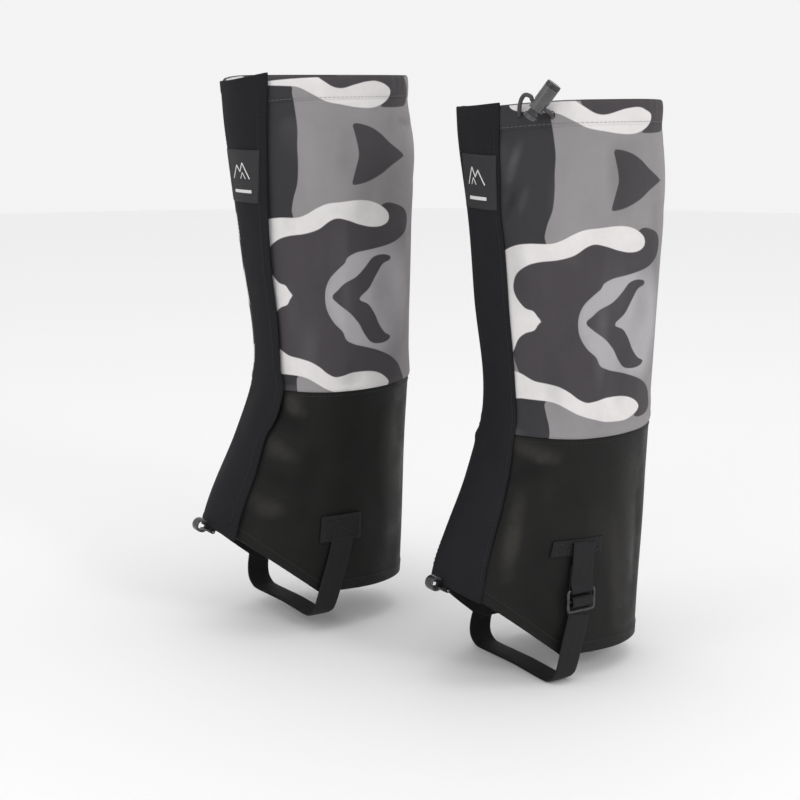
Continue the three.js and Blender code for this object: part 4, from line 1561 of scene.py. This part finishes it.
@dataclass
class FrontClosure(Gaiter):
    """The front flap with its closure tapes and its woven label."""

    sewn_edges: dict[Leg, Knots] = field(
        default_factory=lambda: {
            Leg.LEFT: ((79, 31), (130, 25.5), (189, 18), (230, 14), (330, 14), (352, 13.5), (382, 15.8),
                       (434, 17.5)),
            Leg.RIGHT: ((79, 31), (130, 25.5), (189, 18), (230, 14), (330, 15), (434, 18.5)),
        }
    )
    free_edges: dict[Leg, Knots] = field(
        default_factory=lambda: {
            Leg.LEFT: ((79, -28), (140, -25), (180, -27), (190, -25), (240, -20), (330, -21), (434, -28)),
            Leg.RIGHT: ((79, -27.5), (118, -27), (150, -25), (166, -28.5), (180, -30), (192, -29), (205, -24),
                        (240, -22.5), (290, -23.5), (330, -26), (400, -31), (434, -33.5)),
        }
    )
    top_drops: dict[Leg, tuple[float, float]] = field(
        default_factory=lambda: {Leg.LEFT: (-3.5, -1.3), Leg.RIGHT: (2.5, -2.5)}
    )
    label_levels: dict[Leg, tuple[float, float]] = field(
        default_factory=lambda: {Leg.LEFT: (355.0, 394.0), Leg.RIGHT: (339.0, 380.0)}
    )
    label_sides: dict[Leg, tuple[tuple[float, float], tuple[float, float]]] = field(
        default_factory=lambda: {Leg.LEFT: ((-20, 12.2), (-17, 15)), Leg.RIGHT: ((-20, 10), (-25, 9))}
    )
    stand_off: float = 2.65
    cloth: float = 1.2
    rise: float = 2.5
    hinge_start: float = 17.0
    hinge_end: float = 5.0

    def hinge(self) -> tuple[Array, Array]:
        """Where the flap starts to turn and where it has turned fully, in the leg frame."""
        return np.array([self.hinge_start, 80, 250]), np.array([self.hinge_end, 80, 250])

    def flap_body(self) -> str:
        """The name of the body that the flap moves with."""
        return self.leg.body("flap")

    def surface(self, angle: Array, level: Array) -> Array:
        """Works out how far the flap's inside stands off the leg's form.

        It lies close at the sewn edge and stands off over the closure tapes.

        Args:
            angle: degrees round the leg.
            level: heights in millimetres.

        Returns:
            Millimetres outwards.
        """
        from_seam = (smooth_curve(self.sewn_edges[self.leg], level) - angle) * ARC_PER_DEGREE
        from_edge = (angle - smooth_curve(self.free_edges[self.leg], level)) * ARC_PER_DEGREE
        out = 0.45 + (self.stand_off - 0.45) * ease(from_seam / 9)
        out = out + 0.5 * np.exp(-((from_edge / 5) ** 2)) * np.sin(level / 21 + self.leg.sign)
        clamped = np.minimum(level, 396)
        out = out + FORM.drape(self.leg, angle, level) * 0.8
        return out + 0.25 * np.sin(clamped / 37 + 1.3 * self.leg.sign) * ease(from_seam / 16)

    def flap(self) -> None:
        """The flap, folded over along its free edge and its ends."""
        rows, columns = 190, 46
        share = np.linspace(0, 1, rows)[:, None]
        middle = 79 + (434 - 79) * share
        across = np.linspace(0, 1, columns)[None]
        for _ in range(3):
            free = smooth_curve(self.free_edges[self.leg], middle)
            angle = free * (1 - across) + smooth_curve(self.sewn_edges[self.leg], middle) * across
            bottom = FORM.hem(angle[:1]) - 1.0
            at_free, at_sewn = self.top_drops[self.leg]
            top = FORM.rim(self.leg, angle[-1:]) + self.rise + at_free + (at_sewn - at_free) * across
            middle = bottom + (top - bottom) * share
        level = middle
        out = self.surface(angle, level)
        edge = (angle - angle[:, :1]) * ARC_PER_DEGREE
        ends = np.minimum(level - level[:1], level[-1:] - level)
        fold = np.maximum(1 - ease((edge - 8) / 1.6), 1 - ease((ends - 8) / 1.6))
        outer = out + self.cloth + 0.45 * fold - 0.5 * np.exp(-((edge / 1.1) ** 2))
        shape = self.cloth_over(angle, level, outer, out)
        piece = self.made(shape, FLAP, "flap", "flap_cloth")
        self.bend(piece, self.flap_body(), *self.hinge(), "front_flap")

    def tapes(self) -> None:
        """The hook tape on the shell and the loop tape inside the flap, with raised pile."""
        rows, columns = 150, 9
        level = np.linspace(104, 404, rows)[:, None]
        share = np.linspace(0, 1, columns)[None]
        for name, node, inner, thick, finish, body in (
            ("hook_closure", "hook_tape", 0.3, 0.8, HOOK_PILE, ROOT),
            ("loop_closure", "loop_tape", 1.55, 0.85, LOOP_PILE, self.flap_body()),
        ):
            left = np.maximum(smooth_curve(self.free_edges[self.leg], level) + 5, -24)
            angle = left + (-1 - left) * share
            level_grid = level + 0 * angle
            out = FORM.drape(self.leg, angle, level_grid) * (1.0 if body == ROOT else 0.85) + inner
            shape = self.cloth_over(angle, level_grid, out + thick, out)
            piece = self.made(shape, finish, name, "hook_and_loop")
            self.keep(piece, body, node)

    def label(self) -> None:
        """The woven label with turned-under sides, and a plain peak and bar woven on it."""
        low, high = self.label_levels[self.leg]
        (low_left, low_right), (high_left, high_right) = self.label_sides[self.leg]
        rows, columns = 40, 34
        share = np.linspace(0, 1, rows)[:, None]
        level = low + (high - low) * share + np.zeros((1, columns))
        left, right = low_left + (high_left - low_left) * share, low_right + (high_right - low_right) * share
        angle = left + (right - left) * np.linspace(0, 1, columns)[None]
        side = np.minimum(angle - left, right - angle) * ARC_PER_DEGREE
        ends = np.minimum(level - low, high - level)
        fold = np.maximum(1 - ease((side - 3.5) / 1.0), 1 - ease((ends - 2.5) / 0.8))
        base = self.surface(angle, level) + self.cloth + 0.12
        outer = base + 0.7 + 0.3 * fold - 0.25 * np.exp(-((np.minimum(side, ends) / 0.7) ** 2))
        shape = self.cloth_over(angle, level, outer, base)
        piece = self.made(shape, LABEL, "label", "label_cloth")
        self.bend(piece, self.flap_body(), *self.hinge(), "woven_label")
        self.emblem(float(0.5 * (left + right).mean()), 0.5 * (low + high))

    def emblem(self, middle: float, height: float) -> None:
        """A peak of two strokes over a smaller one, and a plain bar, raised from the label.

        Args:
            middle: the label's middle, in degrees.
            height: its middle height, in millimetres.
        """
        lines = (
            ((-10, 368), (-3.5, 380.5), (0, 373.5), (3.5, 378.5), (10, 368)),
            ((-5.5, 368), (-2.6, 373), (0.2, 368)),
            ((-10.5, 358.2), (10.5, 358.2)),
        )
        strokes = []
        for line, thick in zip(lines, (1.1, 0.8, 2.6)):
            path = smooth_corner_path(np.array(line, float))
            angle = middle + path[:, 0] / ARC_PER_DEGREE
            level = path[:, 1] + height - 370
            out = self.surface(angle, level) + self.cloth + 0.12 + 0.7 + 0.05
            points = FORM.point(angle, level, out)
            strokes.append(stroke_shape(self.leg, points, FORM.outward(angle, level), thick, 0.3))
        piece = self.made(joined_up(strokes), LABEL_THREAD, "label_emblem", "label_cloth")
        self.bend(piece, self.flap_body(), *self.hinge())

    def sew(self) -> None:
        """The flap's stitches: along the sewn edge, and along the fold of the free edge."""
        level = np.linspace(84, 430, 600)
        rows = {
            "flap_seam_stitches": (smooth_curve(self.sewn_edges[self.leg], level) - 2.4, 0.0),
            "flap_edge_stitches": (smooth_curve(self.free_edges[self.leg], level) + 5.6, 0.42),
        }
        for name, (angle, lift) in rows.items():
            keep = level > FORM.hem(angle) + 3
            line_angle, line_level = angle[keep], level[keep]
            out = self.surface(line_angle, line_level) + self.cloth + lift
            line = FORM.point(line_angle, line_level, out)
            shape = Stitching().row(self.leg, line, FORM.outward(line_angle, line_level))
            piece = self.made(shape, THREAD, name, "flap_cloth")
            self.bend(piece, self.flap_body(), *self.hinge())

    def build(self) -> None:
        """Makes every piece of the closure."""
        self.flap()
        self.tapes()
        self.label()
        self.sew()


def smooth_corner_path(points: Array) -> Array:
    """Reads a broken line every half millimetre, with its corners kept."""
    steps = np.concatenate([[0], np.cumsum(np.linalg.norm(np.diff(points, axis=0), axis=1))])
    reads = np.linspace(0, steps[-1], max(4, int(steps[-1] / 0.5)))
    return np.stack([np.interp(reads, steps, points[:, i]) for i in range(2)], -1)


def stroke_shape(leg: Leg, points: Array, outward: Array, width: float, thick: float) -> Shape:
    """Lays a flat rounded stroke of thread along a line on the cloth.

    The section is half a superellipse that stands on the cloth, carried along the line.

    Args:
        leg: the leg that it is on.
        points: the line, in the leg frame.
        outward: the direction out of the cloth at each point.
        width: the stroke's width.
        thick: how far it stands proud.

    Returns:
        The closed shape.
    """
    tangent = unit(np.gradient(points, axis=0))
    side = unit(np.cross(tangent, outward))
    turn = np.linspace(0, 2 * np.pi, 12, endpoint=False)
    x = 0.5 * width * np.sign(np.cos(turn)) * np.abs(np.cos(turn)) ** 0.5
    y = 0.5 * thick * np.sign(np.sin(turn)) * np.abs(np.sin(turn)) ** 0.7
    grid = points[:, None] + side[:, None] * x[None, :, None] + outward[:, None] * y[None, :, None]
    chart = np.stack(np.broadcast_arrays(x[None, :], np.arange(len(points))[:, None] * 0.5), -1)
    return sectioned(leg, grid, chart, False)


@dataclass
class CuffCord(Gaiter):
    """The drawcord's outside loop and the lock that holds it."""

    radius: float = 1.5
    lock_offset: float = 9.5
    lean: float = 36.0

    def seat(self) -> tuple[Array, Array, Array]:
        """Finds where the lock sits.

        The barrel leans back along the rim, and the cord passes square through it.

        Returns:
            The lock's centre, its axis and the cord's direction, in the leg frame.
        """
        route = CORD_ROUTES[self.leg]
        centre = FORM.point(route.lock_angle, route.lock_level, self.lock_offset)
        outward = FORM.outward(route.lock_angle, route.lock_level)
        along, up = np.array([outward[1], -outward[0], 0.0]), np.array([0.0, 0.0, 1.0])
        lean = math.radians(self.lean)
        axis = up * math.cos(lean) + along * math.sin(lean)
        return centre, axis, along * math.cos(lean) - up * math.sin(lean)

    def route(self) -> Array:
        """The cord's points from one slot in the cuff, through the lock and back to the other."""
        route = CORD_ROUTES[self.leg]
        centre, _, run = self.seat()
        points = [FORM.point(*spot) for spot in route.rise]
        points += [centre + run * step for step in (-6, -3, 0, 3, 6)]
        points += [FORM.point(*spot) for spot in route.fall]
        return smooth_path(np.array(points), 1.0)

    def build(self) -> None:
        """Makes the cord and the lock's pieces."""
        path = self.route()
        shape = rod(self.leg, path, self.radius, 1.0)
        piece = self.made(shape, CORD, "drawcord_loop", "cord")
        self.keep(piece, ROOT, "drawcord")
        nodes = [self.leg.name(part) for part in ("cord_lock_plunger", "cord_lock_spring")]
        tuple(self.leg.place(path[0]))
        [tuple(point) for point in self.leg.place(path)]
        self.lock()

    def turned(self, corners: Knots, soft: float = 0.4) -> Shape:
        """Turns a profile with softened corners round the lock's axis.

        Each corner becomes the three points of a short curve, with one more on each side of it.

        Args:
            corners: pairs of radius and place along the axis, round the section.
            soft: how far from a corner its curve starts.

        Returns:
            The closed ring.
        """
        at = np.array(corners, float)
        points = []
        for index, corner in enumerate(at):
            ways = [at[index - 1] - corner, at[(index + 1) % len(at)] - corner]
            steps = [way / np.linalg.norm(way) * min(soft, np.linalg.norm(way) * 0.4) for way in ways]
            first, last = corner + steps[0], corner + steps[1]
            points += [corner + 1.2 * steps[0], first, 0.25 * first + 0.5 * corner + 0.25 * last, last]
            points += [corner + 1.2 * steps[1]]
        centre, axis, _ = self.seat()
        return lathe(self.leg, centre, axis, tuple(map(tuple, points)))

    def bridges(self) -> Shape:
        """The two walls of the barrel beside the window that the cord passes through."""
        centre, axis, run = self.seat()
        side = np.cross(axis, run)
        walls = []
        for sign in (-1, 1):
            turn = np.radians(np.linspace(-58, 58, 9))[:, None]
            arc = centre + 4.95 * (sign * side * np.cos(turn) + run * np.sin(turn))
            walls.append(band(self.leg, arc, 6.4, 1.0, axis, 0.8))
        return joined_up(walls)

    def lock(self) -> None:
        """The lock's barrel, with a collar below the cord's window and a dark cap on top."""
        collar = self.turned(((4.45, -4), (5.5, -4), (5.5, -2.4), (4.45, -2.4)), 0.25)
        barrel = self.turned(((5.5, 2.4), (5.5, 14.6), (4.6, 14.6), (4.6, 2.4)), 0.3)
        shape = barrel.joined(collar).joined(self.bridges())
        piece = self.made(shape, GREY_PLASTIC, "lock_barrel", "grey_plastic")
        self.keep(piece, self.leg.body("cord_lock"), "cord_lock_barrel")
        cap = self.turned(((0.06, 15.4), (0.06, 18), (5.35, 18), (5.6, 14.8), (4.5, 14.8), (4.5, 15.4)), 0.35)
        piece = self.made(cap, BLACK_PLASTIC, "lock_cap", "grey_plastic")
        self.keep(piece, self.leg.body("cord_lock"))


@dataclass
class Underfoot(Gaiter):
    """The instep strap with its patches and buckle, and the lace hook in front."""

    width: float = 20.0
    thick: float = 1.6
    fore: tuple[float, float, float] = (0.0, 1.0, 0.0)

    def strap(self) -> None:
        """The strap from below the buckle, under the boot and up to the patch on the inside."""
        route = (
            (59.2, 19.5, 55), (59, 21, 48), (59, 22.5, 42), (58.7, 25.5, 30), (57.8, 28, 17), (54.9, 29, 7.6),
            (48.5, 29, 2.2), (41, 29, 0.8), (20, 28, 0.8), (0, 27, 0.8), (-20, 27.5, 0.8), (-41, 28, 0.8),
            (-48.5, 28, 2.2), (-54.9, 27.5, 7.6), (-57.4, 25.5, 17), (-57.6, 20.5, 32), (-57.6, 14.5, 50),
            (-58.0, 9.5, 70), (-58.2, 8, 82),
        )
        shape = band(self.leg, np.array(route), self.width, self.thick, self.fore)
        piece = self.made(shape, WEBBING, "instep_webbing", "webbing")
        self.keep(piece, ROOT, "instep_strap")

    def patches(self) -> None:
        """The reinforcing patches that the strap and the buckle's tab are sewn through."""
        for name, node, low, high, left, right, inner in (
            ("buckle_reinforcement", "buckle_patch", 100.0, 112.0, 63.0, 91.0, 0.5),
            ("strap_reinforcement", "strap_patch", 64.0, 86.0, -95.0, -73.0, 2.4),
        ):
            rows, columns = 22, 30
            level = np.linspace(low, high, rows)[:, None] + np.zeros((1, columns))
            angle = np.linspace(left, right, columns)[None] + np.zeros((rows, 1))
            out = self.patch_inside(angle, level, 0.5 * (left + right), inner)
            sides, ends = np.minimum(angle - left, right - angle) * 1.1, np.minimum(level - low, high - level)
            edge = np.minimum(sides, ends)
            outer = out + 1.0 - 0.35 * np.exp(-((edge / 0.7) ** 2))
            shape = self.cloth_over(angle, level, outer, out)
            self.keep(self.made(shape, WEBBING, name, "webbing"), ROOT, node)
            self.box_stitch(name, left + 1.8, right - 1.8, low + 2, high - 2, inner)

    def patch_inside(self, angle: Array, level: Array, middle: float, inner: float) -> Array:
        """Works out how far a patch's inside stands off the form: flat against it, or over the strap.

        Args:
            angle: degrees round the leg.
            level: heights in millimetres.
            middle: the patch's middle, in degrees.
            inner: how far it stands off over the strap; 1 or less for a patch on the cloth itself.

        Returns:
            Millimetres outwards.
        """
        over_strap = inner > 1
        rest = 0.7 * (1 - ease((np.abs(angle - middle) * 1.1 - 8) / 5)) if over_strap else 0.0
        return FORM.drape(self.leg, angle, level) * 0.3 + inner * (0.45 if over_strap else 1) + rest

    def box_stitch(
        self, name: str, left: float, right: float, low: float, high: float, inner: float
    ) -> None:
        """Sews a square with crossed diagonals.

        Args:
            name: the patch's name.
            left: the square's left side, in degrees.
            right: its right side.
            low: its lower side, in millimetres.
            high: its upper side.
            inner: how far the patch's inside stands off the leg's form.
        """
        square = [(left, low), (right, low), (right, high), (left, high), (left, low)]
        corners = np.array([*square, (right, high)])
        legs = [np.linspace(corners[i], corners[i + 1], 40) for i in range(5)]
        legs.append(np.linspace((right, low), (left, high), 40))
        rows = []
        for line in legs:
            angle, level = line.T
            out = self.patch_inside(angle, level, 0.5 * (left + right), inner) + 1.0
            points = FORM.point(angle, level, out)
            rows.append(Stitching(thread=0.3).row(self.leg, points, FORM.outward(angle, level)))
        self.keep(self.made(joined_up(rows), THREAD, name + "_stitches", "webbing"), ROOT)

    def buckle(self) -> None:
        """The ladder buckle and the strap's end looped through it; the tab that the buckle hangs from is made
        by tab.
        """
        middle_u, middle_v, top = 61.2, 19.5, 74.5
        half, drop, bar = 12.0, 16.0, 1.15
        body = self.leg.body("buckle")
        frame_path = []
        for v, z in ((-half + 2, 0), (0, 0), (half - 2, 0), (half, -2), (half, -drop / 2), (half, 2 - drop),
                     (half - 2, -drop), (0, -drop), (2 - half, -drop), (-half, 2 - drop), (-half, -drop / 2),
                     (-half, -2)):
            frame_path.append((middle_u, middle_v + v, top + z))
        shape = rod(self.leg, np.array(frame_path), bar, closed=True)
        across = [(middle_u, middle_v + v, top - 8.4) for v in (-half, -4, 4, half)]
        shape = shape.joined(rod(self.leg, np.array(across), 1.0))
        piece = self.made(shape, BLACK_PLASTIC, "ladder_buckle", "black_plastic")
        self.keep(piece, body, "strap_buckle")
        profile = ((-3.9, -20), (-3.9, -14), (-3.9, -8), (-2.9, -5.6), (0, -5.1), (2.1, -6.1), (2.7, -8.7),
                   (2.1, -11.3), (0, -12.4), (-1.6, -13.4), (-2.2, -16), (-2.2, -20.5))
        loop = [(middle_u + du, middle_v, top + dz) for du, dz in profile]
        shape = band(self.leg, np.array(loop), self.width - 1, 1.4, self.fore, 0.8)
        piece = self.made(shape, WEBBING, "strap_end", "webbing")
        self.bend(piece, body, (middle_u, middle_v, top - 21), (middle_u, middle_v, top - 15), "strap_loop")

    def tab(self) -> None:
        """The tab from the upper patch round the buckle's top bar and back."""
        path = (
            (58.9, 15, 110), (59.3, 16, 102), (59.7, 17, 92), (60.3, 18.4, 82), (62.3, 19.3, 77.1),
            (63.3, 19.5, 74.5), (61.9, 19.5, 72.2), (59.7, 19.5, 73.1), (58.9, 19.1, 76.5),
            (58.5, 18.2, 84), (58.3, 17.2, 92),
        )
        shape = band(self.leg, np.array(path), self.width, 1.1, self.fore, 0.9)
        piece = self.made(shape, WEBBING, "buckle_webbing", "webbing")
        self.keep(piece, ROOT, "buckle_tab")

    def lace_hook(self) -> None:
        """The lace hook: a metal strip rolled into an open curl, on a short bar in a tab."""
        bar_v, bar_z = 102.5, 73.5
        turn = np.radians(np.linspace(225, 492, 40))
        radius = 4.7
        curl = np.stack([0 * turn, 110.5 + radius * np.cos(turn), 79 + radius * np.sin(turn)], -1)
        stem = np.array([[0, bar_v, bar_z], [0, bar_v + 2.2, bar_z + 0.9]])
        path = np.concatenate([stem, curl[2:]])
        shape = band(self.leg, path, 9.0, 1.9, (1.0, 0.0, 0.0), 0.6)
        bar = rod(self.leg, np.array([(u, bar_v, bar_z) for u in (-7.7, -3, 3, 7.7)]), 1.1)
        piece = DARK_METAL.dress(shape.joined(bar).build(self.leg.name("lace_catch")), "dark_metal")
        self.keep(piece, self.leg.body("lace_hook"), "lace_hook")

    def hook_tab(self) -> None:
        """The tab that holds the lace hook's bar, folded round it and sewn behind the flap."""
        v, z = 102.5, 73.5
        back = [FORM.point(0.0, level, 0.8) for level in (98.0, 92.0, 86.0)]
        front = [FORM.point(0.0, level, 1.95) for level in (86.0, 92.0, 98.0)]
        loop = [(0, v - 2.2, z + 6), (0, v - 1.8, z + 1), (0, v - 0.9, z - 1.5), (0, v + 0.9, z - 1.5)]
        loop += [(0, v + 1.8, z + 0.6), (0, v + 0.7, z + 4), (0, v - 0.9, z + 7.5)]
        path = np.concatenate([np.array(back), np.array(loop, float), np.array(front)])
        shape = band(self.leg, path, 14.0, 0.8, (1.0, 0.0, 0.0), 0.7)
        piece = self.made(shape, WEBBING, "hook_webbing", "webbing")
        self.keep(piece, self.leg.body("flap"), "hook_tab")

    def build(self) -> None:
        """Makes every piece under and beside the boot."""
        self.hook_tab()
        self.strap()
        self.patches()
        self.tab()
        self.buckle()
        self.lace_hook()


@dataclass
class CarriedNodes(Gaiter):
    """The CAD nodes that stay, each with its finish."""

    finishes: dict[str, Finish] = field(
        default_factory=lambda: {
            "cord_lock_plunger": BLACK_PLASTIC,
            "cord_lock_spring": SPRING_STEEL,
        }
    )

    def dress(self, nodes: dict[str, bpy.types.Object]) -> None:
        """Gives each carried node its finish.

        Args:
            nodes: the CAD nodes by name.
        """
        for part, finish in self.finishes.items():
            node = nodes[self.leg.name(part)]
            for index in range(len(node.material_slots)):
                node.material_slots[index].material = finish.material()
            LOG.info("%s keeps its shape", node.name)


@dataclass(frozen=True)
class Studio:
    """The floor, the lights and the camera."""

    camera_at: tuple[float, float, float] = (1.0567, -0.7152, 0.4581)
    camera_azimuth: float = 57.0
    camera_dip: float = 11.7
    lens: float = 73.1
    sky: float = 0.9

    def camera(self) -> None:
        """The camera, in front of the wearer's left side and a little above the middle."""
        data = bpy.data.cameras.new("camera")
        data.lens = self.lens
        data.sensor_width = 36.0
        camera = bpy.data.objects.new("camera", data)
        bpy.context.scene.collection.objects.link(camera)
        turn, dip = math.radians(self.camera_azimuth), math.radians(self.camera_dip)
        look = Vector((-math.sin(turn) * math.cos(dip), math.cos(turn) * math.cos(dip), -math.sin(dip)))
        camera.matrix_world = Matrix.LocRotScale(Vector(self.camera_at), look.to_track_quat("-Z", "Y"), None)
        bpy.context.scene.camera = camera

    def lights(self) -> None:
        """Even light from all round, with broad soft lamps in front, beside and above."""
        world = bpy.data.worlds.new("studio")
        bpy.context.scene.world = world
        world.use_nodes = True
        background = world.node_tree.nodes["Background"]
        background.inputs["Color"].default_value = (1.0, 1.0, 1.0, 1)
        background.inputs["Strength"].default_value = self.sky
        lamps = (
            ("front lamp", (0.3, -2.2, 1.4), 1.2, 6.0),
            ("side lamp", (2.3, 0.3, 1.5), 0.7, 11.0),
            ("top lamp", (0.4, 0.2, 2.4), 1.2, 4.0),
        )
        for name, at, size, power in lamps:
            data = bpy.data.lights.new(name, "AREA")
            data.shape = "DISK"
            data.size = size
            data.energy = power
            lamp = bpy.data.objects.new(name, data)
            bpy.context.scene.collection.objects.link(lamp)
            look = Vector((0.0, 0.0, 0.22)) - Vector(at)
            lamp.matrix_world = Matrix.LocRotScale(Vector(at), look.to_track_quat("-Z", "Y"), None)

    def floor(self) -> None:
        """A plain pale floor, 8 m across."""
        ring = np.linspace(0, 2 * np.pi, 64, endpoint=False)
        points = np.stack([4 * np.cos(ring), 4 * np.sin(ring), 0 * ring - 0.0002], -1)
        mesh = bpy.data.meshes.new("floor")
        mesh.from_pydata(points.tolist(), [], [list(range(64))])
        floor = bpy.data.objects.new("floor", mesh)
        bpy.context.scene.collection.objects.link(floor)
        material = bpy.data.materials.new("pale floor")
        material.use_nodes = True
        shader = material.node_tree.nodes["Principled BSDF"]
        shader.inputs["Base Color"].default_value = (0.93, 0.93, 0.93, 1)
        shader.inputs["Roughness"].default_value = 0.7
        mesh.materials.append(material)

    def build(self) -> None:
        """Sets the whole studio up."""
        bpy.context.scene.view_settings.view_transform = "Standard"
        self.camera()
        self.lights()
        self.floor()


def main() -> None:
    """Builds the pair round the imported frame."""
    logging.basicConfig(level=logging.INFO, format="%(name)s: %(message)s")
    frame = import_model()
    Studio().build()
    GROUPS.update(weave=weave_group(), mottle=mottle_group(), ribs=ribs_group(), rubbed=rubbed_group())
    for leg in Leg:
        CuffCord(leg).build()
    for leg in Leg:
        ClothTube(leg).build()
        FrontClosure(leg).build()
        Underfoot(leg).build()
        CarriedNodes(leg).dress(frame["nodes"])
    bpy.context.view_layer.update()


if __name__ == "__main__":
    main()
